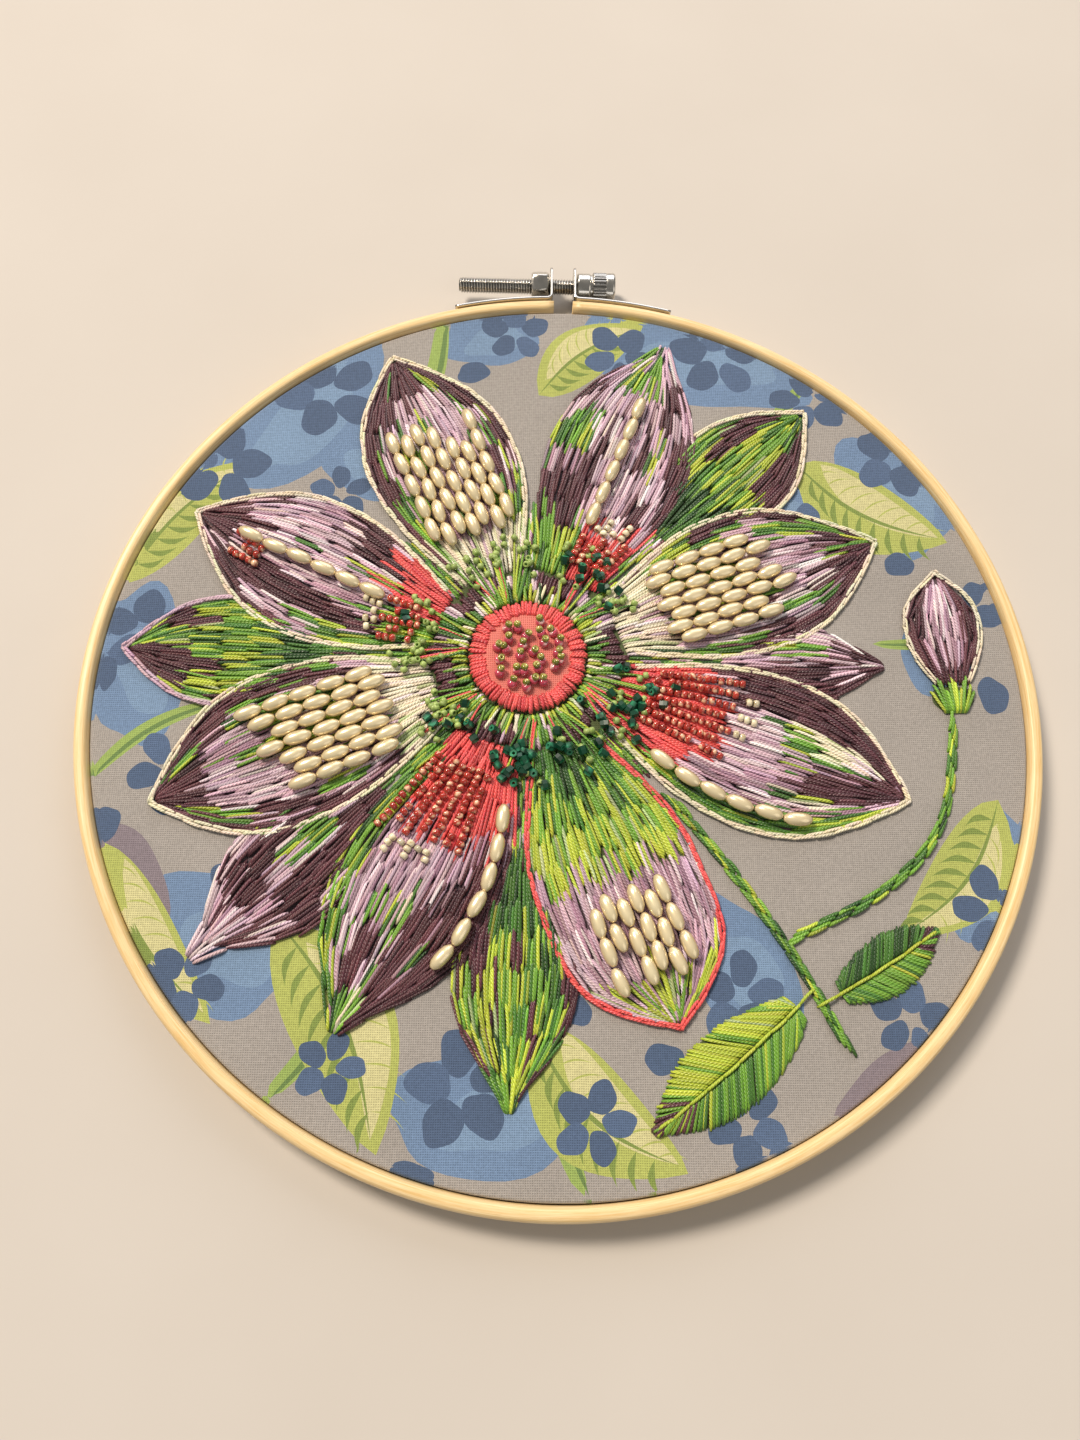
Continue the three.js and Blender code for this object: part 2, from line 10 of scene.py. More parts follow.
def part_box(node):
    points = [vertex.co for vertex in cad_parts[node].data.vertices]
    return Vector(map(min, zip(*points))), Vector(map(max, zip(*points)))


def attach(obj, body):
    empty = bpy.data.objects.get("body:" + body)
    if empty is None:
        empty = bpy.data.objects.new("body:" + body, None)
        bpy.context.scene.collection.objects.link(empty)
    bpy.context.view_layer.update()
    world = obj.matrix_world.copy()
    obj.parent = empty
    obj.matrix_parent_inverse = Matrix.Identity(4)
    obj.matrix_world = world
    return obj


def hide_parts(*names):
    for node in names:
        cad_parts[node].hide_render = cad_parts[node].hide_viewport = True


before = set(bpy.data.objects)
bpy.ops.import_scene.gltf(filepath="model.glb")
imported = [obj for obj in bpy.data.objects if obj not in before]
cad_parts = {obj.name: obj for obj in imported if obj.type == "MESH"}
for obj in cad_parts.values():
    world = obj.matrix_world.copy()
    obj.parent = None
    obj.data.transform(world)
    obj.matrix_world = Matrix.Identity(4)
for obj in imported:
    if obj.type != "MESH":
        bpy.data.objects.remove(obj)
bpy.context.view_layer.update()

# ==== view, floor and light ====
# The hoop lies on a pale floor and is seen from above, from a little below its middle.
# Shapes below are worked out in millimetres from the rings' centre and then placed in the frame.
MM = 0.001
inner_low, inner_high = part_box("inner_ring")
RINGS_CENTRE = np.array([(inner_low.x + inner_high.x) / 2, (inner_low.y + inner_high.y) / 2, 0.0])

VIEW_TARGET = np.array([-4.91, -2.78, 0.0])  # mm from the rings' centre
VIEW_DISTANCE = 244.53  # mm
VIEW_AZIMUTH = math.radians(-4.611)
VIEW_ELEVATION = math.radians(71.244)
VIEW_ROLL = math.radians(5.266)
VIEW_LENS = 27.03


def placed(points):
    """Millimetres from the rings' centre to metres in the frame."""
    return np.asarray(points, float) * MM + RINGS_CENTRE


def aim(back, roll):
    """A turn whose Z axis is back and whose X axis is level, then rolled about Z."""
    right = np.cross(-back, [0.0, 0.0, 1.0])
    right /= np.linalg.norm(right)
    up = np.cross(back, right)
    side = right * math.cos(roll) + up * math.sin(roll)
    top = -right * math.sin(roll) + up * math.cos(roll)
    return Matrix(np.column_stack([side, top, back]).tolist()).to_4x4()


view_back = np.array([
    math.sin(VIEW_AZIMUTH) * math.cos(VIEW_ELEVATION),
    -math.cos(VIEW_AZIMUTH) * math.cos(VIEW_ELEVATION),
    math.sin(VIEW_ELEVATION),
])
camera = bpy.data.objects.new("camera", bpy.data.cameras.new("camera"))
camera.data.lens = VIEW_LENS
camera.data.sensor_width = 36
camera.data.clip_start = 0.01
camera.matrix_world = (
    Matrix.Translation(Vector(placed(VIEW_TARGET + view_back * VIEW_DISTANCE))) @ aim(view_back, VIEW_ROLL)
)
bpy.context.collection.objects.link(camera)
bpy.context.scene.camera = camera


def colour(code):
    """An sRGB hex code as linear red, green, blue and alpha."""
    channels = np.array([int(code[k:k + 2], 16) for k in (1, 3, 5)]) / 255
    linear = np.where(channels <= 0.04045, channels / 12.92, ((channels + 0.055) / 1.055) ** 2.4)
    return (*linear, 1.0)


def lamp(name, place, size, power, tint):
    """A square soft light that looks at the middle of the hoop. place is in metres."""
    light = bpy.data.lights.new(name, "AREA")
    light.size = size
    light.energy = power
    light.color = colour(tint)[:3]
    thing = bpy.data.objects.new(name, light)
    thing.location = place
    thing.rotation_euler = (-Vector(place)).to_track_quat("-Z", "Y").to_euler()
    bpy.context.collection.objects.link(thing)


bpy.context.scene.view_settings.view_transform = "Standard"
lamp("key_light", (-1.70, 1.60, 2.93), 0.9, 150.0, "#FFF0DE")
lamp("back_panel", (0.5, 2.5, 1.5), 2.2, 36.0, "#F6F5FA")
lamp("fill_light", (1.5, -1.3, 1.5), 1.8, 9.6, "#FFF6EC")
world = bpy.data.worlds.new("soft_room")
bpy.context.scene.world = world
world.use_nodes = True
world.node_tree.nodes["Background"].inputs["Color"].default_value = colour("#E8E4DE")
world.node_tree.nodes["Background"].inputs["Strength"].default_value = 0.27


def node(tree, kind, sockets=None, out=0, **settings):
    """One output of a new node with its settings: each socket gets a value, or a link from an output."""
    made = tree.nodes.new(kind)
    for key, value in settings.items():
        setattr(made, key, value)
    for key, value in (sockets or {}).items():
        if isinstance(value, bpy.types.NodeSocket):
            tree.links.new(value, made.inputs[key])
        else:
            made.inputs[key].default_value = value
    return made.outputs[out]


def finish(name, **sockets):
    """A material with one principled shader; sockets are named with _ for a space."""
    material = bpy.data.materials.new(name)
    material.use_nodes = True
    shader = material.node_tree.nodes["Principled BSDF"]
    for key, value in sockets.items():
        shader.inputs[key.replace("_", " ")].default_value = value
    return material, material.node_tree, shader


# Matt painted board: a very faint mottle is all that shows, in clouds of 70 mm. A mix node takes its
# factor and colours at sockets 0, 6 and 7, and gives its colour at output 2.
floor_paint, tree, shader = finish("matt_painted_board", Roughness=0.85)
place = node(tree, "ShaderNodeTexCoord", out="Object")
mottle = node(tree, "ShaderNodeTexNoise", {"Vector": place, "Scale": 14.0, "Detail": 4.0}, "Fac")
shades = {0: mottle, 6: colour("#C9C3BB"), 7: colour("#D2CDC6")}
tree.links.new(node(tree, "ShaderNodeMix", shades, 2, data_type="RGBA"), shader.inputs["Base Color"])
FLOOR_HALF = 3.0  # metres
floor_mesh = bpy.data.meshes.new("floor")
floor_mesh.from_pydata(
    [(-FLOOR_HALF, -FLOOR_HALF, 0), (FLOOR_HALF, -FLOOR_HALF, 0), (FLOOR_HALF, FLOOR_HALF, 0),
     (-FLOOR_HALF, FLOOR_HALF, 0)], [], [(0, 1, 2, 3)]
)
floor = bpy.data.objects.new("floor", floor_mesh)
floor_mesh.materials.append(floor_paint)
bpy.context.collection.objects.link(floor)

# ==== outer ring ====
# A split band of pale beech, steamed and bent round, its edges sanded round by hand.
# The plates of the closure are fixed to its outer wall, beside the saw cut.
outer_low, outer_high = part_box("outer_ring")
OUTER_RADIUS = (outer_high.x - outer_low.x) / 2 / MM
OUTER_HEIGHT = outer_high.z / MM
RING_WALL = 3.4  # mm
SPLIT_HALF = 2.4  # mm, half the gap between the saw cuts
EDGE_POWER = 3.4  # higher is squarer
BAND_STEPS = 288
BAND_SIDES = 36  # points round a band's section
BAND_SIDE = 0.7  # mm between those points, as the grain sees it


def shown(name, points, faces, material, loops=None, smooth=True):
    """A mesh object from points in mm and faces of one size, as whole arrays.

    loops holds layers for the face corners: a two-column array becomes the UV map,
    and a four-column one the colour attribute named thread.
    """
    faces = np.asarray(faces, np.int32)
    count, sides = faces.shape
    mesh = bpy.data.meshes.new(name)
    mesh.vertices.add(len(points))
    mesh.vertices.foreach_set("co", placed(points).astype(np.float32).ravel())
    mesh.loops.add(count * sides)
    mesh.loops.foreach_set("vertex_index", faces.ravel())
    mesh.polygons.add(count)
    mesh.polygons.foreach_set("loop_start", np.arange(count, dtype=np.int32) * sides)
    mesh.polygons.foreach_set("use_smooth", np.full(count, smooth))
    for layer in loops or ():
        if layer.shape[1] == 2:
            uv = mesh.uv_layers.new(name="surface")
            uv.data.foreach_set("uv", layer.astype(np.float32).ravel())
        else:
            tint = mesh.color_attributes.new(name="thread", type="FLOAT_COLOR", domain="CORNER")
            tint.data.foreach_set("color", layer.astype(np.float32).ravel())
    mesh.update(calc_edges=True)
    mesh.validate()
    mesh.materials.append(material)
    thing = bpy.data.objects.new(name, mesh)
    bpy.context.collection.objects.link(thing)
    return thing


def fitted(thing, body, slot, *nodes):
    """The piece rides on its body and stands for its CAD nodes, which it hides; slot is not used."""
    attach(thing, body)
    if nodes:
        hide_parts(*nodes)


def grid_faces(rows, columns, round_rows=False, round_columns=False):
    """Quads of a grid of points stored row by row, closed where a direction goes round."""
    i = np.arange(rows if round_rows else rows - 1)[:, None]
    j = np.arange(columns if round_columns else columns - 1)[None, :]
    nexti = (i + 1) % rows
    nextj = (j + 1) % columns
    corners = [i * columns + j, nexti * columns + j, nexti * columns + nextj, i * columns + nextj]
    return np.stack([np.broadcast_to(c, (i.size, j.size)) for c in corners], -1).reshape(-1, 4)


def squared_circle(power, count):
    """Points of a superellipse of half width 1: cosine and sine, each raised to 2 over the power."""
    turn = np.linspace(0, 2 * np.pi, count, endpoint=False)
    across = np.sign(np.cos(turn)) * np.abs(np.cos(turn)) ** (2 / power)
    up = np.sign(np.sin(turn)) * np.abs(np.sin(turn)) ** (2 / power)
    return across, up


def cap_faces(first, count):
    """Quads that close a ring of an even number of points in a ladder across it."""
    k = np.arange(count // 2 - 1)
    return np.stack([first + (count - 1 - k), first + count - 2 - k, first + k + 1, first + k], -1)


def tube_faces(rows, around):
    """Quads of a closed tube: rings of an even number of points, joined in a row and shut at both ends."""
    return np.concatenate([grid_faces(rows, around, round_columns=True), cap_faces(0, around)[:, ::-1],
                           cap_faces((rows - 1) * around, around)])


def beech(name, pale, dark):
    """Beech: pale and half matt, with fine streaks along the bent band and short darker flecks.

    UV runs in mm. A streak is about 0.6 mm wide and 14 mm long, and a fleck 0.3 mm by 4 mm; soft
    clouds of 45 mm make the wood warmer in places.
    """
    material, tree, shader = finish(name, Roughness=0.42, Coat_Weight=0.12, Coat_Roughness=0.3)
    flat = node(tree, "ShaderNodeUVMap", uv_map="surface")
    drawn_out = node(tree, "ShaderNodeMapping", {"Vector": flat, "Scale": (0.045, 1.0, 1.0)})
    streaks = node(tree, "ShaderNodeTexNoise",
                   {"Vector": drawn_out, "Scale": 1.6, "Detail": 6.0, "Roughness": 0.65}, "Fac")
    clouds = node(tree, "ShaderNodeTexNoise", {"Vector": flat, "Scale": 0.022, "Detail": 2.0}, "Fac")
    fleck_place = node(tree, "ShaderNodeMapping", {"Vector": flat, "Scale": (0.25, 3.2, 1.0)})
    flecks = node(tree, "ShaderNodeTexNoise", {"Vector": fleck_place, "Scale": 1.0, "Detail": 1.0}, "Fac")
    grain = node(tree, "ShaderNodeMapRange", {"Value": streaks, "From Min": 0.36, "From Max": 0.66})
    fleck_share = node(tree, "ShaderNodeMapRange", {"Value": flecks, "From Min": 0.62, "From Max": 0.72})
    base = node(tree, "ShaderNodeMix", {0: grain, 6: colour(dark), 7: colour(pale)}, 2, data_type="RGBA")
    warm = node(tree, "ShaderNodeMix", {0: clouds, 6: colour("#FFFAE8"), 7: colour("#F4DEB0")}, 2,
                data_type="RGBA")
    aged = node(tree, "ShaderNodeMix", {0: 0.5, 6: base, 7: warm}, 2, data_type="RGBA",
                blend_type="MULTIPLY")
    flecked = node(tree, "ShaderNodeMix", {0: fleck_share, 6: aged, 7: colour("#CDA468")}, 2,
                   data_type="RGBA")
    faint = node(tree, "ShaderNodeMix", {0: 0.3, 6: aged, 7: flecked}, 2, data_type="RGBA")
    tree.links.new(faint, shader.inputs["Base Color"])
    relief = node(tree, "ShaderNodeBump", {"Height": streaks, "Distance": 0.05 * MM})
    tree.links.new(relief, shader.inputs["Normal"])
    return material


def band(name, inside, outside, low, high, power, split_half, material):
    """A bent band: a squared circle carried round, between two parallel saw cuts if it is split.

    Its radius wavers by up to a tenth of a millimetre, as that of bent wood does.
    """
    across, up = squared_circle(power, BAND_SIDES)
    radius = (inside + outside) / 2 + across * (outside - inside) / 2
    height = (low + high) / 2 + up * (high - low) / 2
    cut = np.arcsin(split_half / radius)
    share = np.linspace(0, 1, BAND_STEPS + 1)[:, None]
    turn = np.pi / 2 + cut + share * (2 * np.pi - 2 * cut)
    waver = 0.05 * np.sin(3 * turn + 0.7) + 0.04 * np.sin(7 * turn)
    bent_radius = radius + waver
    points = np.stack([bent_radius * np.cos(turn), bent_radius * np.sin(turn),
                       np.broadcast_to(height, turn.shape)], -1).reshape(-1, 3)
    once_round = BAND_STEPS * BAND_SIDES
    faces = tube_faces(BAND_STEPS + 1, BAND_SIDES)
    if not split_half:
        faces = faces[:once_round]
    row, column = np.divmod(faces, BAND_SIDES)
    column[:once_round, 2:] = (column[:once_round, 2:] - 1) % BAND_SIDES + 1
    uv = np.stack([turn[row, 0] * (inside + outside) / 2, column * BAND_SIDE], -1).reshape(-1, 2)
    if not split_half:
        faces = faces % once_round
        points = points[:once_round]
    return shown(name, points, faces, material, [uv])


outer_ring = band("outer_band", OUTER_RADIUS - RING_WALL, OUTER_RADIUS, 0.0, OUTER_HEIGHT,
                  EDGE_POWER, SPLIT_HALF, beech("sanded_beech", "#FAE9C2", "#E6C68C"))
fitted(outer_ring, "hoop", "beech", "outer_ring")

# ==== inner ring ====
# A closed band of the same beech, left plain, over which the cloth is drawn.
INNER_RADIUS = (inner_high.x - inner_low.x) / 2 / MM
INNER_HEIGHT = inner_high.z / MM
INNER_EDGE_POWER = 7.0
inner_ring = band("inner_band", INNER_RADIUS - RING_WALL, INNER_RADIUS, 0.0, INNER_HEIGHT,
                  INNER_EDGE_POWER, 0.0, beech("plain_beech", "#F2E0B8", "#DDBD86"))
fitted(inner_ring, "hoop", "beech", "inner_ring")

# ==== ground cloth ====
# Plain-weave cotton, printed with blue blossoms and lime leaves on taupe, cut as a disc and drawn
# over the inner ring. Its edge turns down between the rings and is trimmed behind.
cloth_low, cloth_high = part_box("cloth")
CLOTH_PRESS = 0.15  # mm that the cloth sinks into the outer ring's wall
CLOTH_RADIUS = (cloth_high.x - cloth_low.x) / 2 / MM + CLOTH_PRESS
CLOTH_FACE = cloth_high.z / MM
CLOTH_HEM = cloth_low.z / MM
CLOTH_THICKNESS = 0.95
SHOULDER = 0.7  # mm, the radius of the turned edge
FLAT_RADIUS = CLOTH_RADIUS - SHOULDER
RIM_POINTS = 360
WALL_STEPS = 4
NET_SPACING = 2.2  # mm between the disc's inner points
WEAVE_PITCH = 0.45  # mm

# Besides the print's own colours, the last three are dark tones under the stitches: painted shade for the
# gaps between them.
PRINT_COLOURS = {
    "ground": "#A39E99", "shade": "#857A84", "sky": "#6C8AB0", "sky_light": "#7897BA", "slate": "#425B7E",
    "slate_light": "#4B658A", "lime": "#B2BC5F", "lime_deep": "#7E9440", "pale_lime": "#D3CF96",
    "stem": "#97B25A", "stem_deep": "#668644", "wash_mauve": "#5E4953", "wash_green": "#4B5A2A",
    "print_and_gap_shade_coral": "#A04442",
}

# The flower and its spray are drawn on the cloth before they are stitched, in dark tones that stand for the
# shade in the gaps between the stitches: partly print, partly painted shade.
# root is a petal's distance from the flower's middle, and start the inner end of an outline's middle
# line; swing is the sideways drift of its tip; tip is 1.2 for a pointed tip and 2.2 for a round one.
BLOOM = np.array([-8.0, 9.0])  # middle of the flower
PETAL_NECK = 0.42  # width at the root, as a share of the full width
PETAL_WIDEST = 0.5  # share of the length where the width is full
PETAL_BLUNT = 0.96  # 1 would close the tip to a point
OUTLINE_STEPS = 24  # points along each side of an outline
OUTLINE_COLUMNS = ("node", "slot", "wash", "angle", "root", "length", "width", "swing", "tip")
PETALS = [dict(zip(OUTLINE_COLUMNS, row)) for row in (
    ("petal_1", "lilac_thread", "wash_mauve", 112, 23, 61, 34, 2, 1.25),
    ("petal_2", "aubergine_thread", "wash_mauve", 157, 23, 60, 33, -2, 1.2),
    ("petal_3", "lilac_thread", "wash_mauve", 202, 23, 62, 34.5, 2, 1.35),
    ("petal_4", "pink_thread", "wash_mauve", 247, 23, 64, 34, -3, 1.25),
    ("petal_5", "lime_thread", "wash_green", 291, 23, 61, 34, 1, 2.2),
    ("petal_6", "pink_thread", "wash_mauve", 337, 23, 64, 35, 3, 1.3),
    ("petal_7", "lilac_thread", "wash_mauve", 22, 23, 62, 34, -2, 1.2),
    ("petal_8", "aubergine_thread", "wash_mauve", 67, 23, 64, 34, 2, 1.3),
)]
BACK_PETALS = [dict(zip(OUTLINE_COLUMNS, row)) for row in (
    ("back_petal_1", "green_thread", "wash_green", 179.5, 44, 44, 25, 0, 1.2),
    ("back_petal_2", "aubergine_thread", "wash_mauve", 224.5, 44, 47, 26, 0, 1.15),
    ("back_petal_3", "green_thread", "wash_green", 268.5, 44, 49, 26, 0, 1.2),
    ("back_petal_4", "aubergine_thread", "wash_mauve", 359.5, 44, 34, 19, 0, 1.2),
    ("back_petal_5", "green_thread", "wash_green", 44.5, 44, 48, 26, 0, 1.15),
)]
for row in PETALS + BACK_PETALS:
    row["start"] = BLOOM + row["root"] * np.array([math.cos(math.radians(row["angle"])),
                                                   math.sin(math.radians(row["angle"]))])
SPRAY_COLUMNS = ("node", "slot", "wash", "start", "angle", "length", "width", "swing", "tip")
SPRAY = {row[0]: dict(zip(SPRAY_COLUMNS, row)) for row in (
    ("leaf_1", "green_thread", "wash_green", (56.4, -63), 28, 25, 12, 1.5, 1.2),
    ("leaf_2", "green_thread", "wash_green", (47, -66), 222, 38, 16, -2, 1.15),
    ("bud", "lilac_thread", "wash_mauve", (87, 5), 95, 26, 16.5, -1, 1.4),
    ("bud_cup", "green_thread", "wash_green", (87, -2.4), 92, 6.6, 10, 0, 3.0),
)}


def half_width(row, share):
    """Half the width of an outline: a sine from the neck to the widest place, then a cosine to the tip."""
    swell = PETAL_NECK + (1 - PETAL_NECK) * np.sin(np.pi / 2 * np.clip(share / PETAL_WIDEST, 0, 1))
    rest = np.clip((share - PETAL_WIDEST) / (1 - PETAL_WIDEST), 0, 1)
    close = np.cos(np.pi / 2 * PETAL_BLUNT * rest ** row["tip"])
    return row["width"] / 2 * np.where(share < PETAL_WIDEST, swell, close)


def petal_point(row, share, aside):
    """The place at a share of an outline's length and a distance aside from its middle line."""
    turn = math.radians(row["angle"])
    across = aside + row["swing"] * share * share
    x = row["start"][0] + row["length"] * share * math.cos(turn) - across * math.sin(turn)
    y = row["start"][1] + row["length"] * share * math.sin(turn) + across * math.cos(turn)
    return np.stack([x, y], -1)


def petal_outline(row, grow=0.0, share_end=1.0):
    """The closed edge of an outline, anticlockwise from its root, pushed out sideways by grow."""
    share = np.linspace(0, share_end, OUTLINE_STEPS)
    reach = half_width(row, share) + grow
    return np.concatenate([petal_point(row, share, -reach), petal_point(row, share, reach)[::-1]])


def ripple(x, y):
    """The small unevenness of drawn cloth in mm: four crossed waves, and radial pulls near the rim.

    The pulls are strongest 92 mm from the middle. Both die out over the last 12 mm.
    """
    radius, turn = np.hypot(x, y), np.arctan2(y, x)
    hold = np.clip((FLAT_RADIUS - radius) / 12, 0, 1)
    waves = (np.sin(0.11 * x + 0.05 * y + 1.0) + np.sin(-0.06 * x + 0.13 * y + 2.2)
             + 0.7 * np.sin(0.21 * x - 0.17 * y) + 0.4 * np.sin(0.35 * x + 0.29 * y + 0.5))
    pull = np.sin(16 * turn + 0.8 * np.sin(5 * turn)) * np.exp(-((radius - 92) / 7) ** 2)
    return 0.07 * hold * waves + 0.09 * hold * pull


def blot(x, y, wide, high, turn, waver, phase):
    """A closed, slightly lobed oval as brushed paint leaves it."""
    angle = np.linspace(0, 2 * np.pi, 34, endpoint=False)
    grow = 1 + waver * (np.sin(3 * angle + phase) + 0.6 * np.sin(5 * angle + 2.1 * phase))
    across, up = wide * grow * np.cos(angle), high * grow * np.sin(angle)
    lean = math.radians(turn)
    return np.stack([x + across * math.cos(lean) - up * math.sin(lean),
                     y + across * math.sin(lean) + up * math.cos(lean)], -1)


def blade(start, end, width, bend, blunt=1.0):
    """A leaf or brush stroke: two edges that bow from start to end, widest in the middle."""
    start, end = np.array(start, float), np.array(end, float)
    share = np.linspace(0, 1, 15)
    along = end - start
    side = np.array([-along[1], along[0]]) / np.linalg.norm(along)
    spine = start + along * share[:, None] + side * (bend * np.sin(np.pi * share))[:, None]
    half = (width / 2 * np.sin(np.pi * share ** 0.85) ** blunt)[:, None]
    return np.concatenate([spine - side * half, (spine + side * half)[-2:0:-1]])


print_shapes = []


def paint(tone, outline):
    """Adds one flat printed shape over those before it."""
    print_shapes.append((tone, outline))


def printed_leaf(start, end, width, bend):
    """A lime leaf with a pale half, a deep vein and short strokes on each side."""
    start, end = np.array(start, float), np.array(end, float)
    along = end - start
    side = np.array([-along[1], along[0]]) / np.linalg.norm(along)
    paint("lime", blade(start, end, width, bend, 0.8))
    paint("pale_lime", blade(start + 0.12 * along + side * 0.16 * width, end - 0.06 * along,
                             width * 0.42, bend + 0.1 * width, 0.8))
    paint("lime_deep", blade(start, end - 0.05 * along, width * 0.055, bend))
    for share in np.arange(0.12, 0.86, 0.09):
        spine = start + along * share + side * bend * math.sin(math.pi * share)
        reach = width * 0.40 * math.sin(math.pi * (share * 0.9 + 0.08)) ** 0.8
        for way in (-1, 1):
            tip = spine + along * 0.13 + side * way * reach
            tone = "lime_deep" if way < 0 else "lime"
            paint(tone, blade(spine, tip, 0.9 - 0.5 * way, way * 1.2, 1.4))


def printed_stem(start, end, bend, width):
    """A stem in two greens along a bowed line."""
    paint("stem", blade(start, end, width, bend, 0.35))
    offset = np.array([width * 0.2, 0.0])
    paint("stem_deep", blade(np.array(start) + offset, np.array(end) + offset, width * 0.3, bend, 0.5))


def printed_blossom(x, y, size, turn, lobes=5):
    """A plain blossom: round petals set in a ring, with the ground left open in the middle."""
    for k in range(lobes):
        angle = math.radians(turn + 360 * k / lobes)
        reach = size * (0.62 + 0.05 * math.sin(3 * k + turn))
        tone = "slate" if (k + int(turn)) % 3 else "slate_light"
        paint(tone, blot(x + reach * math.cos(angle), y + reach * math.sin(angle),
                         size * 0.42, size * (0.33 + 0.03 * math.sin(k + x)),
                         math.degrees(angle), 0.05, k + x))


#              x,   y, wide, high, turn
SKY_PATCHES = [(-64, 70, 27, 14, 42), (30, 88, 30, 11, -16), (78, 52, 12, 17, 30), (-93, 6, 10, 19, 4),
               (-70, -54, 17, 13, -40), (-14, -86, 20, 12, 4), (90, -38, 9, 15, -20), (36, -58, 10, 17, 30),
               (-18, 94, 12, 8, 10), (52, 46, 8, 12, 40), (-46, 58, 9, 12, 50), (84, 12, 8, 10, 0)]
for k, (x, y, wide, high, turn) in enumerate(SKY_PATCHES):
    paint("sky", blot(x, y, wide, high, turn, 0.07, 1.3 * k))
    paint("sky_light", blot(x + 0.1 * wide, y - 0.05 * high, 0.62 * wide, 0.55 * high, turn + 12,
                            0.1, 2.1 * k))
paint("shade", blot(66, -84, 16, 9, 40, 0.06, 0.4))
paint("shade", blot(-90, -44, 8, 16, 20, 0.06, 1.9))
#                start,       end,     bend, width
PRINTED_STEMS = [((-30, 101), (-40, 60), 3, 4.6), ((60, 84), (44, 44), -4, 4.0),
                 ((-101, -20), (-74, -2), 3, 3.4), ((-58, -84), (-40, -52), -3, 4.2),
                 ((4, -101), (-2, -64), 3, 4.4), ((98, 22), (70, 14), 3, 3.2)]
for start, end, bend, width in PRINTED_STEMS:
    printed_stem(start, end, bend, width)
#                 start,       end,       width, bend
PRINTED_LEAVES = [((56, 60), (90, 40), 20, -4), ((-58, -50), (-36, -94), 21, 4),
                  ((-6, -70), (24, -97), 19, -5), ((-99, 26), (-74, 58), 15, 3),
                  ((-6, 78), (20, 99), 15, 3), ((94, -22), (70, -52), 16, 4),
                  ((-96, -34), (-70, -70), 14, -3)]
for start, end, width, bend in PRINTED_LEAVES:
    printed_leaf(start, end, width, bend)
#                   x,   y, size, turn
PRINTED_BLOSSOMS = [(-80, 56, 11, 10), (-57, 77, 12, 40), (-38, 62, 9, 70), (38, 90, 11, 20),
                    (14, 90, 9, 55), (80, 62, 10, 0), (60, 78, 9, 33), (-93, 14, 10, 15),
                    (-84, -18, 9, 50), (-64, -44, 10, 5), (-76, -62, 8, 60), (-20, -82, 11, 25),
                    (6, -88, 8, 0), (-2, -64, 8, 40), (36, -64, 9, 12), (90, -46, 9, 30),
                    (92, 22, 8, 64), (70, -68, 8, 8), (-12, 96, 8, 20), (56, 40, 9, 5),
                    (-52, 50, 7, 22), (36, -88, 8, 50), (-46, -78, 7, 0)]
for x, y, size, turn in PRINTED_BLOSSOMS:
    printed_blossom(x, y, size, turn)
#             x,   y, wide, high, turn
SINGLE_DOTS = [(-22, 84, 4, 3, 20), (-68, 40, 4, 3, 0), (46, 70, 3.6, 3, 50), (-96, -30, 4, 3, 80),
               (-54, -92, 5, 3.4, 20), (20, -76, 4, 3, 0), (96, 2, 3.4, 4.4, 10), (78, 34, 3.5, 3, 0),
               (-100, 4, 2, 4, 0), (70, 88, 4, 3, 40), (84, -62, 4, 3.4, 30), (-30, -98, 5, 3, 0)]
for x, y, wide, high, turn in SINGLE_DOTS:
    paint("slate", blot(x, y, wide, high, turn, 0.06, x))
# The dark tones end just inside the stitches; petal_5 has a second, mauve one over its outer half, petals 4
# and 6 have dark coral at their roots, and a dark green disc lies under the middle of the flower: painted
# shade for the gaps.
for row in BACK_PETALS + PETALS + list(SPRAY.values()):
    paint(row["wash"], petal_outline(row, -0.35))
paint("wash_mauve", petal_outline(PETALS[4], -1.2)[OUTLINE_STEPS // 2:-OUTLINE_STEPS // 2])
for k in (3, 5):
    paint("print_and_gap_shade_coral", petal_outline(PETALS[k], -0.5, 0.3))
paint("wash_green", blot(*BLOOM, 24, 24, 0, 0.01, 0))


def inside_outline(points, outline):
    """Which points lie in a closed outline: an odd number of its edges lie to their right."""
    x, y = points[:, :1], points[:, 1:]
    ax, ay = outline[:, 0], outline[:, 1]
    bx, by = np.roll(ax, -1), np.roll(ay, -1)
    spans = (ay > y) != (by > y)
    with np.errstate(divide="ignore", invalid="ignore"):
        crossing = ax + (y - ay) * (bx - ax) / (by - ay)
    return (spans & (x < crossing)).sum(1) % 2 == 1


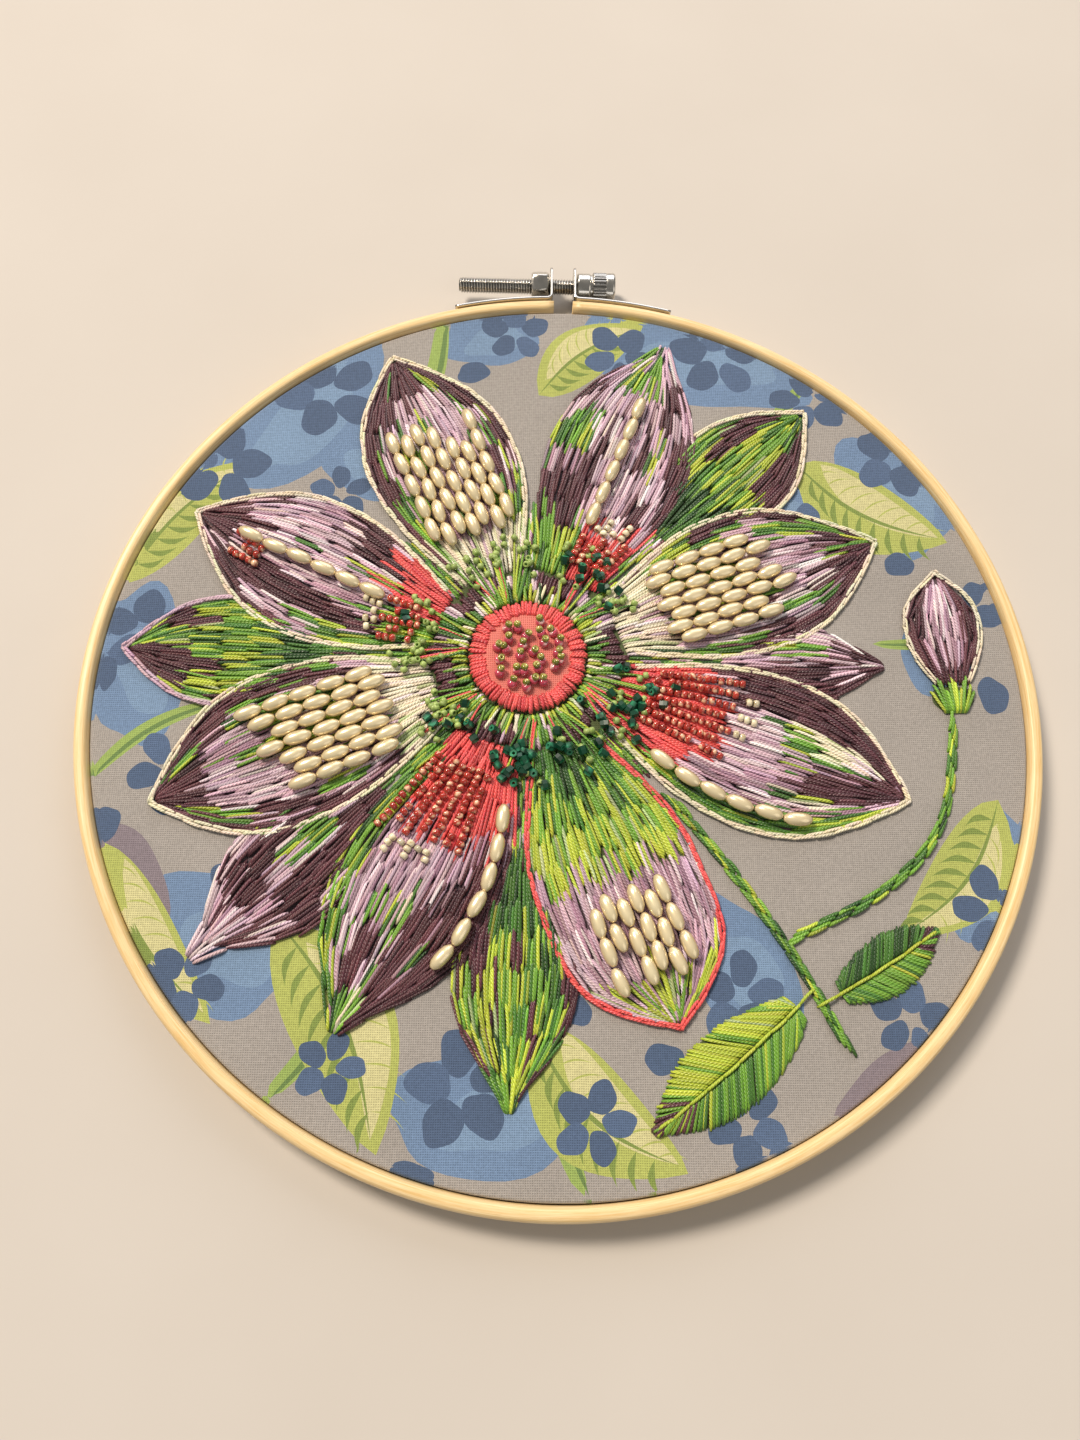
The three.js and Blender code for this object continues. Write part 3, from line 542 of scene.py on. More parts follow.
def printed_cloth():
    """The flat disc cut along every printed edge: its points, its triangles and the shapes kept inside it.

    The disc is a constrained triangulation of an even net of points and the printed outlines.
    """
    rng = np.random.default_rng(11)
    net = np.arange(-FLAT_RADIUS, FLAT_RADIUS, NET_SPACING)
    x, y = np.meshgrid(net, net)
    field = np.stack([x.ravel(), y.ravel()], -1) + rng.uniform(-0.3, 0.3, (x.size, 2)) * NET_SPACING
    field = field[np.hypot(*field.T) < FLAT_RADIUS - 1.2]
    turn = np.linspace(0, 2 * np.pi, RIM_POINTS, endpoint=False)
    rim = FLAT_RADIUS * np.stack([np.cos(turn), np.sin(turn)], -1)
    points = [rim, field]
    around = np.arange(RIM_POINTS)
    edges = [np.stack([around, (around + 1) % RIM_POINTS], -1)]
    count = RIM_POINTS + len(field)
    clipped = []
    for tone, outline in print_shapes:
        radius = np.hypot(*outline.T)
        keep = np.minimum(1, (FLAT_RADIUS - 0.4) / radius)
        outline = outline * keep[:, None]
        clipped.append((tone, outline))
        if (keep < 1).all():
            continue
        points.append(outline)
        around = count + np.arange(len(outline))
        edges.append(np.stack([around, np.roll(around, -1)], -1))
        count += len(outline)
    flat = np.concatenate(points)
    cut = delaunay_2d_cdt([Vector(p) for p in flat.tolist()], np.concatenate(edges).tolist(), [], 0, 1e-4)
    corners = np.array([tuple(v) for v in cut[0]])
    triangles = np.array(cut[2], np.int32)
    a, b, c = (corners[triangles[:, k]] for k in range(3))
    area = np.cross(b - a, c - a)
    triangles = np.where(area[:, None] < 0, triangles[:, ::-1], triangles)
    triangles = triangles[np.abs(area) > 1e-7]
    return corners, triangles, clipped


disc_points, disc_faces, clipped_shapes = printed_cloth()


def tones(middles):
    """Linear colours of the print at these points: the tone of the last shape that holds each."""
    painted = np.tile(colour(PRINT_COLOURS["ground"]), (len(middles), 1))
    for tone, outline in clipped_shapes:
        near = np.flatnonzero(((middles >= outline.min(0)) & (middles <= outline.max(0))).all(1))
        hit = near[inside_outline(middles[near], outline)]
        painted[hit] = colour(PRINT_COLOURS[tone])
    return painted


# The shoulder and the wall repeat the rim's own order of points, ring after ring.
rim_order = np.argsort(np.round(np.arctan2(disc_points[:, 1], disc_points[:, 0]) % (2 * np.pi), 6))
on_rim = np.hypot(*disc_points.T) > FLAT_RADIUS - 1e-3
rim_order = rim_order[on_rim[rim_order]]
rim_turn = np.arctan2(disc_points[rim_order, 1], disc_points[rim_order, 0])
bend = np.linspace(0, np.pi / 2, 7)[1:]
wall_radius = np.concatenate([FLAT_RADIUS + SHOULDER * np.sin(bend), np.full(WALL_STEPS, CLOTH_RADIUS)])
wall_height = np.concatenate([CLOTH_FACE - SHOULDER * (1 - np.cos(bend)),
                              np.linspace(CLOTH_FACE - SHOULDER, CLOTH_HEM, WALL_STEPS + 1)[1:]])
wall = np.stack([np.outer(wall_radius, np.cos(rim_turn)), np.outer(wall_radius, np.sin(rim_turn)),
                 np.repeat(wall_height[:, None], rim_order.size, 1)], -1).reshape(-1, 3)
disc_height = CLOTH_FACE + ripple(*disc_points.T)
cloth_points = np.concatenate([np.column_stack([disc_points, disc_height]), wall])
ring_index = np.concatenate([rim_order, len(disc_points) + np.arange(len(wall))])
wall_quads = ring_index[grid_faces(len(wall_radius) + 1, rim_order.size, round_columns=True)]
wall_faces = np.concatenate([wall_quads[:, [0, 1, 2]], wall_quads[:, [0, 2, 3]]])
cloth_faces = np.concatenate([disc_faces, wall_faces])
# The print runs on over the edge.
middles = cloth_points[cloth_faces].mean(1)[:, :2]
middles *= np.minimum(1, (FLAT_RADIUS - 1) / np.hypot(*middles.T))[:, None]
print_tint = np.repeat(tones(middles), 3, axis=0)


def crossed_ribs(tree, place, waver):
    """The threads of plain weave as even bands both ways, of which the higher one shows.

    A wave repeats every 2 pi over 20 times its scale.
    """
    sockets = {"Vector": place, "Scale": 2 * math.pi / (20 * WEAVE_PITCH * MM), **waver}
    ribs = [node(tree, "ShaderNodeTexWave", sockets, "Fac", wave_type="BANDS", bands_direction=direction)
            for direction in ("X", "Y")]
    return node(tree, "ShaderNodeMath", dict(enumerate(ribs)), operation="MAXIMUM")


def plain_weave(name, fade):
    """Printed plain-weave cotton: matt, with threads both ways that show as fine ribs, with painted shade
    between them.

    The real thread spacing is about 0.3 mm; it is drawn at WEAVE_PITCH so that it shows. Flecks of
    0.7 mm and clouds of 18 mm make it uneven. fade is the share of bare cloth in the print, higher
    on the reverse.
    """
    material, tree, shader = finish(name, Roughness=0.85, Sheen_Weight=0.12, Sheen_Roughness=0.5)
    place = node(tree, "ShaderNodeTexCoord", out="Object")
    ribs = crossed_ribs(tree, place, {"Distortion": 1.6, "Detail": 2.0, "Detail Scale": 0.35})
    flecks = node(tree, "ShaderNodeTexNoise", {"Vector": place, "Scale": 1400.0, "Detail": 2.0}, "Fac")
    clouds = node(tree, "ShaderNodeTexNoise", {"Vector": place, "Scale": 55.0, "Detail": 3.0}, "Fac")
    levels = [node(tree, "ShaderNodeMapRange", {"Value": value, "To Min": low, "To Max": high})
              for value, low, high in ((clouds, 0.86, 1.12), (ribs, 0.78, 1.07), (flecks, 0.76, 1.24))]
    # The ribs' level darkens the colour between the threads: painted shade in the weave's gaps.
    tone = node(tree, "ShaderNodeMath", {0: levels[0], 1: levels[1]}, operation="MULTIPLY")
    tone = node(tree, "ShaderNodeMath", {0: tone, 1: levels[2]}, operation="MULTIPLY")
    dye = node(tree, "ShaderNodeAttribute", out="Color", attribute_name="thread")
    worn = node(tree, "ShaderNodeMix", {0: fade, 6: dye, 7: colour("#A9A49E")}, 2, data_type="RGBA")
    shaded = node(tree, "ShaderNodeVectorMath", {0: worn, "Scale": tone}, operation="SCALE")
    tree.links.new(shaded, shader.inputs["Base Color"])
    relief = node(tree, "ShaderNodeBump", {"Height": ribs, "Strength": 0.8, "Distance": 0.12 * MM})
    tree.links.new(relief, shader.inputs["Normal"])
    return material


cloth = shown("ground_cloth", cloth_points, cloth_faces, plain_weave("printed_plain_weave", 0.06),
              [print_tint])
cloth.data.materials.append(plain_weave("reverse_of_print", 0.6))
thickness = cloth.modifiers.new("thickness", "SOLIDIFY")
thickness.thickness = CLOTH_THICKNESS * MM
thickness.offset = -1
thickness.material_offset = 1
fitted(cloth, "hoop", "cotton", "cloth")

# ==== stitched petals ====
# Long straight stitches of stranded cotton, laid side by side along the petal in rows that run into
# each other, so the ends are ragged and the colours break in patches. Some have a back-stitched edge.
THREADS = {
    "cream": "#F0E6CB", "pale": "#F0DEE4", "lilac": "#D2B4C4", "mauve": "#AB8799", "aubergine": "#623A42",
    "plum": "#4B2A32", "coral": "#F2605F", "rose": "#D94A50", "lime": "#BACB44", "bright": "#76A83C",
    "leaf": "#4C7B33", "deep": "#305228", "sage": "#AFC088",
}
FAMILIES = {  # threads that are used together, and how often each
    "greens": (("bright", 0.42), ("leaf", 0.3), ("lime", 0.22), ("deep", 0.06)),
    "limes": (("lime", 0.72), ("bright", 0.2), ("sage", 0.08)),
    "darks": (("aubergine", 0.66), ("plum", 0.34)),
    "lilacs": (("lilac", 0.6), ("pale", 0.22), ("mauve", 0.18)),
    "pinks": (("lilac", 0.5), ("mauve", 0.42), ("pale", 0.08)),
    "corals": (("coral", 0.78), ("rose", 0.22)),
    "creams": (("cream", 0.7), ("sage", 0.16), ("pale", 0.14)),
    "forest": (("deep", 0.5), ("leaf", 0.5)),
    "spring": (("bright", 0.62), ("leaf", 0.2), ("lime", 0.18)),
}
THREAD_WIDTH = 0.74  # mm, one laid stitch
THREAD_PITCH_ACROSS = 0.59  # mm from one stitch to its neighbour
THREAD_SIDES = 6
THREAD_STEPS = 6
THREAD_DIP = 0.35  # mm that the ends of a stitch go down into the cloth
THREAD_FLATNESS = 0.86  # height of a stitch as a share of its width
PLIES = 3
PLY_TURN = 0.8  # mm along the thread for each ply


def directions(turn):
    """Points at a distance of 1 in these directions."""
    return np.stack([np.cos(turn), np.sin(turn)], -1)


def beside(ahead):
    """Unit vectors a quarter turn to the left of these."""
    return np.stack([-ahead[:, 1], ahead[:, 0]], -1) / np.linalg.norm(ahead, axis=1)[:, None]


def repeated(one, points_each, count):
    """The faces of one shape again for each of count shapes, whose points follow each other."""
    return (one[None] + points_each * np.arange(count)[:, None, None]).reshape(-1, 4)


def laid_threads(starts, ends, base, lift, width, shades, rng):
    """Stitches as closed, slightly flattened tubes. base, lift and width are one value or one a stitch.

    Each runs from start to end with a slight sideways bow, rises at once out of the cloth to base
    plus lift, lies level and dips back in; its width narrows at both ends. The first UV axis is the
    length in mm with a turn of all the plies added once around, so that the plies wind.
    """
    count = len(starts)
    base, lift, width = (np.broadcast_to(value, count)[:, None] for value in (base, lift, width))
    along = ends - starts
    length = np.linalg.norm(along, axis=1)
    side = beside(along)
    even = np.linspace(-1, 1, THREAD_STEPS + 1)
    share = 0.5 + 0.5 * np.sign(even) * np.abs(even) ** 0.7
    level = 1 - np.abs(2 * share - 1) ** 6
    bow = rng.normal(0, 0.1, count)[:, None] * np.sin(np.pi * share)
    spine = starts[:, None] + along[:, None] * share[:, None] + side[:, None] * bow[..., None]
    height = base - THREAD_DIP + (lift + THREAD_DIP) * level
    size = width / 2 * (0.6 + 0.4 * (1 - np.abs(2 * share - 1) ** 8))
    turn = 2 * np.pi * np.arange(THREAD_SIDES) / THREAD_SIDES
    flat = spine[:, :, None] + side[:, None, None] * (size[..., None] * np.cos(turn))[..., None]
    tall = height[..., None] + THREAD_FLATNESS * size[..., None] * np.sin(turn)
    points = np.concatenate([flat, tall[..., None]], -1).reshape(-1, 3)
    per = (THREAD_STEPS + 1) * THREAD_SIDES
    faces = repeated(tube_faces(THREAD_STEPS + 1, THREAD_SIDES)[:, ::-1], per, count)
    around = np.tile(np.arange(THREAD_SIDES) / THREAD_SIDES, THREAD_STEPS + 1)
    run = np.repeat(share, THREAD_SIDES) * length[:, None] + PLIES * PLY_TURN * around
    uv = np.stack([run, np.broadcast_to(around, (count, per))], -1).reshape(-1, 2)
    return points, faces, uv, np.repeat(shades, per, axis=0)


def stranded_cotton():
    """Stranded embroidery cotton: mercerised, so it has a soft silky shine, with plies that twist, painted
    lighter on their crests and darker between them: painted light and shade.

    The plies turn every PLY_TURN, which is coarser than real, so that they show.
    """
    material, tree, shader = finish("stranded_cotton", Roughness=0.36, Sheen_Weight=0.12,
                                    Sheen_Roughness=0.35)
    flat = node(tree, "ShaderNodeUVMap", uv_map="surface")
    wave = {"Vector": flat, "Scale": 2 * math.pi / (20 * PLY_TURN), "Distortion": 1.4, "Detail": 2.0}
    plies = node(tree, "ShaderNodeTexWave", wave, "Fac", wave_type="BANDS", bands_direction="X")
    tone = node(tree, "ShaderNodeMapRange", {"Value": plies, "To Min": 0.78, "To Max": 1.1})
    dye = node(tree, "ShaderNodeAttribute", out="Color", attribute_name="thread")
    shaded = node(tree, "ShaderNodeVectorMath", {0: dye, "Scale": tone}, operation="SCALE")
    tree.links.new(shaded, shader.inputs["Base Color"])
    relief = node(tree, "ShaderNodeBump", {"Height": plies, "Strength": 0.8, "Distance": 0.12 * MM})
    tree.links.new(relief, shader.inputs["Normal"])
    return material


cotton_thread = stranded_cotton()


def joined(parts):
    """Meshes, each as points, faces, UV and colours, as one, with the last two by face corner."""
    first = np.cumsum([0] + [len(part[0]) for part in parts[:-1]])
    faces = np.concatenate([part[1] + start for part, start in zip(parts, first)])
    layers = [np.concatenate([part[k] for part in parts])[faces.ravel()] for k in (2, 3)]
    return np.concatenate([part[0] for part in parts]), faces, layers


def thread_piece(name, parts, slot, *nodes):
    """One stitched piece from several groups of laid threads."""
    points, faces, layers = joined(parts)
    fitted(shown(name, points, faces, cotton_thread, layers), "hoop", slot, *nodes)


def dealt(value, shares):
    """The name for each value from 0 to 1, by its share of the range."""
    names = np.array([name for name, share in shares])
    edges = np.cumsum([share for name, share in shares])
    return names[np.minimum(np.searchsorted(edges, value * edges[-1]), len(names) - 1)]


def spun(families, rng, spread=0.16):
    """Linear colours for stitches: a thread of each one's family, a little lighter or darker by turns."""
    names = np.asarray(families).astype("<U12")
    for family, shares in FAMILIES.items():
        chosen = names == family
        names[chosen] = dealt(rng.random(int(chosen.sum())), shares)
    table = {key: np.array(colour(code)) for key, code in THREADS.items()}
    tint = np.array([table[name] for name in names])
    tint[:, :3] *= rng.normal(1, spread, (len(names), 1)) * rng.normal(1, 0.04, (len(names), 3))
    return np.clip(tint, 0, 1)


def drift(along, across, seed):
    """A smooth value from 0 to 1: random heights on a square net of side 1, blended between its corners."""
    corners = 32
    net = np.random.default_rng(seed).random((corners, corners))
    i, j = np.floor(along).astype(int) % (corners - 1), np.floor(across).astype(int) % (corners - 1)
    u, v = along % 1, across % 1
    u, v = u * u * (3 - 2 * u), v * v * (3 - 2 * v)
    low = net[i, j] * (1 - v) + net[i, j + 1] * v
    high = net[i + 1, j] * (1 - v) + net[i + 1, j + 1] * v
    return low * (1 - u) + high * u


def patches(place, shares, seed, rng, long=14.0, wide=4.6):
    """Families in patches, long and wide in mm, that take up the given shares of the petal."""
    value = drift(place["along"] / long + 3, place["across"] / wide + 16, seed)
    value = value + rng.normal(0, 0.035, value.size)
    return dealt(value.argsort().argsort() / value.size, shares)


def pearl_petal(place, seed, rng):
    """Cream at the root, lilac in the middle with green patches, aubergine at one edge and the tip."""
    way = 1 if seed % 2 else -1
    side = way * place["side"] + 0.3 * (drift(place["along"] / 9, place["along"] * 0 + 3, seed + 50) - 0.5)
    side = side + rng.normal(0, 0.05, side.size)
    share = place["share"] + rng.normal(0, 0.025, side.size)
    names = patches(place, (("lilacs", 0.72), ("greens", 0.16), ("pinks", 0.12)), seed, rng)
    edge = patches(place, (("greens", 0.55), ("lilacs", 0.3), ("darks", 0.15)), seed + 1, rng, 12, 3)
    names = np.where((side < -0.46) | (side > 0.6), edge, names)
    names = np.where((side > 0.84) & (share > 0.15), "darks", names)
    names = np.where((side < -0.8) & (share > 0.35), "darks", names)
    names = np.where((share > 0.83 - 0.1 * np.abs(side)) & (names != "greens"), "darks", names)
    return np.where(share < 0.16, "creams", names)


def aubergine_petal(place, seed, rng):
    """Aubergine with long lilac streaks and some green, coral at one side of the root."""
    names = patches(place, (("darks", 0.46), ("lilacs", 0.36), ("greens", 0.18)), seed, rng, 18, 4.0)
    share = place["share"] + rng.normal(0, 0.03, place["share"].size)
    middle = np.abs(place["side"]) < 0.24 + rng.normal(0, 0.04, share.size)
    names = np.where(middle & (share < 0.8), "lilacs", names)
    root = np.where(place["side"] * (1 if seed % 2 else -1) > -0.1, "corals", "greens")
    return np.where(share < 0.2, root, names)


def coral_petal(place, seed, rng):
    """Coral at the root, dusty pink in the middle, green along one edge, aubergine and cream at the tip."""
    way = 1 if seed % 2 else -1
    side = way * place["side"] + rng.normal(0, 0.045, place["side"].size)
    share = place["share"] + rng.normal(0, 0.03, side.size)
    names = patches(place, (("pinks", 0.74), ("lilacs", 0.26)), seed, rng)
    names = np.where(share < 0.36 - 0.14 * np.abs(side), "corals", names)
    names = np.where((side > 0.72) & (share > 0.06), "greens", names)
    outer_shares = (("darks", 0.42), ("pinks", 0.18), ("greens", 0.2), ("creams", 0.2))
    outer = patches(place, outer_shares, seed + 7, rng, 16, 4)
    names = np.where((share > 0.56 + 0.1 * side) & (side < 0.6), outer, names)
    return np.where((side < -0.55) & (share > 0.3), "darks", names)


def banded_petal(place, seed, rng):
    """Bands along the length: dark green, bright green, lime, then lilac, and open lime at the tip."""
    at = place["share"] + rng.normal(0, 0.024, place["share"].size) + 0.05 * place["side"] ** 2
    names = np.full(at.size, "pinks", dtype="<U12")
    names = np.where(at < 0.47, "limes", names)
    names = np.where(at < 0.25, "spring", names)
    names = np.where(at < 0.12, "forest", names)
    return np.where((at > 0.83) & (rng.random(at.size) < 0.6), "limes", names)


def leafy_petal(place, seed, rng):
    """Greens with lime and aubergine streaks, and dark greens at the root as painted shade where it goes
    behind its neighbours.
    """
    names = patches(place, (("greens", 0.5), ("limes", 0.22), ("darks", 0.28)), seed, rng, 17, 3.8)
    return np.where(place["share"] + rng.normal(0, 0.03, names.size) < 0.3, "forest", names)


def dusky_petal(place, seed, rng):
    """Aubergine with lilac streaks that fray at the tip, and a few greens."""
    names = patches(place, (("darks", 0.56), ("lilacs", 0.32), ("greens", 0.12)), seed, rng, 17, 3.6)
    tip = (place["share"] > 0.72) & (rng.random(names.size) < 0.4)
    return np.where(tip, "lilacs", names)


STITCH_ROW = 6.6  # mm from one row of stitches to the next
STITCH_BASE = CLOTH_FACE + 0.25
STITCH_LIFT = 0.2
STITCH_PADDING = 0.42  # mm that the middle of a petal stands above its edges
EDGE_STITCH = 4.3  # mm


def place_on(row, share, side):
    """Where stitches lie on a petal: shares of its length and half width, and the same in mm."""
    return {"share": share, "side": side, "along": share * row["length"],
            "across": side * half_width(row, share)}


def long_and_short(row, pattern, seed, rng, sink=0.0, fray=0.0):
    """Rows of stitches along the flow of the petal, each row ragged and overlapping the next.

    Stitches keep their share of the petal's width, so they close in towards the tip; where they
    get too close, some are left out.
    """
    step = STITCH_ROW / row["length"]
    begins, closes, sides = [], [], []
    for first in np.arange(-0.6 * step, 0.99, step):
        wide = 2 * half_width(row, np.clip(first + step / 2, 0, 1))
        count = max(3, int(wide / THREAD_PITCH_ACROSS))
        side = np.linspace(-1, 1, count)
        begin = first + rng.uniform(-0.3, 0.3, count) * step
        begins.append(np.clip(begin, -0.03, 1))
        closes.append(np.clip(begin + rng.uniform(1.15, 1.6, count) * step, 0, 1 + fray))
        sides.append(side)
    begin, close, side = np.concatenate(begins), np.concatenate(closes), np.concatenate(sides)
    keep = close - begin > 0.3 * step
    begin, close, side = begin[keep], close[keep], side[keep]
    starts = petal_point(row, begin, side * half_width(row, begin) + rng.normal(0, 0.16, side.size))
    ends = petal_point(row, close, side * half_width(row, close) + rng.normal(0, 0.2, side.size))
    share = np.clip((begin + close) / 2, 0, 1)
    padding = STITCH_PADDING * (1 - side ** 2) * np.sin(np.pi * share) ** 0.5
    base = STITCH_BASE - sink + padding + rng.uniform(0, 0.3, side.size)
    size = THREAD_WIDTH * rng.uniform(0.84, 1.14, side.size)
    return starts, ends, base, size, spun(pattern(place_on(row, share, side), seed, rng), rng)


def run_of(route):
    """The length of a route from its start to each of its points."""
    return np.concatenate([[0], np.cumsum(np.linalg.norm(np.diff(route, axis=0), axis=1))])


def spots_along(line, length, marks):
    """The points of a line at these lengths along it."""
    return np.stack([np.interp(marks, length, line[:, k]) for k in range(2)], -1)


def back_stitched(route, family, rng, width=0.72, lift=0.35, strands=((-0.28, 0.0), (0.28, 0.5))):
    """Straight stitches end to end along a route, each a little over the last.

    strands holds the sideways place in mm of each strand and its start, as a share of a stitch.
    """
    length = run_of(route)
    aside_of_route = beside(np.gradient(route, axis=0))
    parts = []
    for aside, phase in strands:
        line = route + aside * aside_of_route
        marks = np.arange(-phase, length[-1] / EDGE_STITCH + 1) * EDGE_STITCH
        spots = spots_along(line, length, np.unique(np.clip(marks, 0, length[-1])))
        spots += rng.normal(0, 0.09, spots.shape)
        along = spots[1:] - spots[:-1]
        overlap = 0.35 * along / np.linalg.norm(along, axis=1)[:, None]
        count = len(along)
        parts.append(laid_threads(spots[:-1] - overlap, spots[1:] + overlap, STITCH_BASE + 0.15,
                                  lift + rng.uniform(0, 0.14, count), width,
                                  spun([family] * count, rng, 0.06), rng))
    return parts


#               pattern, edges with a back-stitched line, its thread, fray of the tip
PETAL_FINISH = [(pearl_petal, (-1, 1), "cream", 0.0), (aubergine_petal, (-1, 1), "cream", 0.0),
                (pearl_petal, (-1, 1), "cream", 0.0), (coral_petal, (), "cream", 0.03),
                (banded_petal, (-1, 1), "coral", 0.0), (coral_petal, (-1, 1), "cream", 0.0),
                (pearl_petal, (-1, 1), "cream", 0.0), (aubergine_petal, (), "cream", 0.05)]
BACK_FINISH = [(leafy_petal, (-1, 1), "lilac", 0.0), (dusky_petal, (), "cream", 0.08),
               (leafy_petal, (), "cream", 0.05), (dusky_petal, (), "cream", 0.06),
               (leafy_petal, (-1, 1), "cream", 0.0)]


def edge_route(row, way):
    """The line of stitches along one edge, just outside it, that closes in to a point past the tip."""
    share = np.linspace(0, 1, 80)
    edge = petal_point(row, share, way * (half_width(row, share) + 0.35))
    past_tip = np.array([1 + 1.1 / row["length"]])
    return np.concatenate([edge, petal_point(row, past_tip, np.zeros(1))])


def behind_front(points):
    """Which points lie under one of the front petals."""
    return np.any([inside_outline(points, petal_outline(front, 0.2)) for front in PETALS], axis=0)


BACK_SINK = 0.16  # mm that the back petals lie lower
for rows, finishes, sink in ((PETALS, PETAL_FINISH, 0.0), (BACK_PETALS, BACK_FINISH, BACK_SINK)):
    for k, (row, (pattern, edges, edge_thread, fray)) in enumerate(zip(rows, finishes)):
        rng = np.random.default_rng(100 + k + int(1000 * sink))
        seed = 211 + 17 * k + int(100 * sink)
        stitches = long_and_short(row, pattern, seed, rng, sink, fray)
        edge_routes = [edge_route(row, way) for way in edges]
        if sink:
            starts, ends = stitches[:2]
            seen = ~(behind_front(starts + 0.25 * (ends - starts)) & behind_front(ends))
            stitches = [value[seen] for value in stitches]
            edge_routes = [route[~behind_front(route)] for route in edge_routes]
        starts, ends, base, size, shades = stitches
        parts = [laid_threads(starts, ends, base, STITCH_LIFT, size, shades, rng)]
        for route in edge_routes:
            parts += back_stitched(route, edge_thread, rng)
        thread_piece(f"{row['node']}_stitches", parts, row["slot"], row["node"])

# On the reverse the same threads run back to their next hole, so the petals show there as rougher stitches.
REVERSE_FACE = CLOTH_FACE - CLOTH_THICKNESS - 0.1
REVERSE_LEAD = 9.0  # mm, the longest stitch
REVERSE_AREA = 18  # square mm of a petal's length times width for each stitch
rng = np.random.default_rng(280)
parts = []
for rows, finishes, is_behind in ((PETALS, PETAL_FINISH, False), (BACK_PETALS, BACK_FINISH, True)):
    for k, (row, petal_finish) in enumerate(zip(rows, finishes)):
        pattern = petal_finish[0]
        count = int(row["length"] * row["width"] / REVERSE_AREA)
        share, side = rng.uniform(0.02, 0.92, count), rng.uniform(-0.92, 0.92, count)
        far = np.clip(share + rng.uniform(0.4, 1.0, count) * REVERSE_LEAD / row["length"], 0, 0.99)
        lean = np.clip(side + rng.normal(0, 0.12, count), -0.95, 0.95)
        starts = petal_point(row, share, side * half_width(row, share))
        ends = petal_point(row, far, lean * half_width(row, far))
        place = place_on(row, share, side)
        if is_behind:
            seen = ~(behind_front(starts) | behind_front(ends))
            starts, ends = starts[seen], ends[seen]
            place = {key: value[seen] for key, value in place.items()}
        points, faces, uv, tint = laid_threads(
            starts, ends, -REVERSE_FACE, 0.2 + rng.uniform(0, 0.3, len(starts)),
            THREAD_WIDTH * rng.uniform(0.85, 1.1, len(starts)),
            spun(pattern(place, 900 + k, rng), rng), rng)
        points[:, 2] *= -1
        parts.append((points, faces[:, ::-1], uv, tint))
thread_piece("reverse_stitches", parts, "aubergine_thread")

# Short stitches fill the wedges between the petals' roots and run out between the petals, less far
# where no back petal carries on behind them.
INFILL_COUNT = 46
INFILL_SHARES = (("greens", 0.5), ("forest", 0.2), ("darks", 0.2), ("lilacs", 0.1))
#         angle, radius of the last stitch
WEDGES = [(134.5, 34), (179.5, 42), (224.5, 42), (269, 42), (314, 34), (359.5, 42), (44.5, 42), (89.5, 34)]
rng = np.random.default_rng(290)
parts = []
for angle, last in WEDGES:
    turn = math.radians(angle)
    out = np.array([math.cos(turn), math.sin(turn)])
    aside = np.array([-out[1], out[0]])
    near = rng.uniform(20.5, last, INFILL_COUNT)
    reach = near + rng.uniform(4, 7, INFILL_COUNT)
    shift = rng.uniform(-1.9, 1.9, INFILL_COUNT)[:, None] * aside
    families = dealt(rng.random(INFILL_COUNT), INFILL_SHARES)
    parts.append(laid_threads(BLOOM + near[:, None] * out + shift, BLOOM + reach[:, None] * out + shift,
                              STITCH_BASE - 0.2 + rng.uniform(0, 0.2, INFILL_COUNT), STITCH_LIFT,
                              THREAD_WIDTH, spun(families, rng), rng))
thread_piece("infill_stitches", parts, "green_thread")

# ==== leaves, bud and stems ====
# Leaves in fishbone stitch from the midrib, one half lighter; the bud in long straight stitches with a
# green cup; stems in four lanes of stem stitch, each stitch set back behind the last.
LEAF_STALK = 5.5  # mm, the midrib's line runs on to the stem
LEAF_PITCH = 0.62  # mm from one stitch to the next
for k, (name, halves) in enumerate((("leaf_1", ("spring", "forest")), ("leaf_2", ("limes", "spring")))):
    rng = np.random.default_rng(300 + k)
    row = SPRAY[name]
    parts = []
    for way, family in zip((-1, 1), halves):
        share = np.arange(-0.2, 0.965, LEAF_PITCH / row["length"])
        share = share + rng.normal(0, 0.003, share.size)
        reach = np.clip(share + 0.2 * (1 - 0.4 * share), 0, 1)
        begin = petal_point(row, np.clip(share, 0, 1), way * 0.1 * np.ones_like(share))
        close = petal_point(row, reach, way * (half_width(row, reach) + rng.normal(0, 0.2, share.size)))
        family = np.where((share > 0.7) & (rng.random(share.size) < 0.35), "darks", family)
        parts.append(laid_threads(begin, close, STITCH_BASE + rng.uniform(0.05, 0.3, share.size),
                                  0.25, THREAD_WIDTH * rng.uniform(0.85, 1.05, share.size),
                                  spun(family, rng, 0.12), rng))
    spine = petal_point(row, np.linspace(-LEAF_STALK / row["length"], 0.97, 50), np.zeros(50))
    parts += back_stitched(spine, "lime", rng, 0.7, 0.6, ((0.0, 0.0),))
    thread_piece(f"{name}_stitches", parts, row["slot"], name)


def bud_petal(place, seed, rng):
    """Aubergine at the base and edges, lilac and pale up the middle."""
    value = np.clip(np.abs(place["side"]) + rng.normal(0, 0.12, place["side"].size), 0, 1)
    names = dealt(value, (("lilacs", 0.5), ("pinks", 0.15), ("darks", 0.35)))
    return np.where(place["share"] + rng.normal(0, 0.05, value.size) < 0.25, "darks", names)


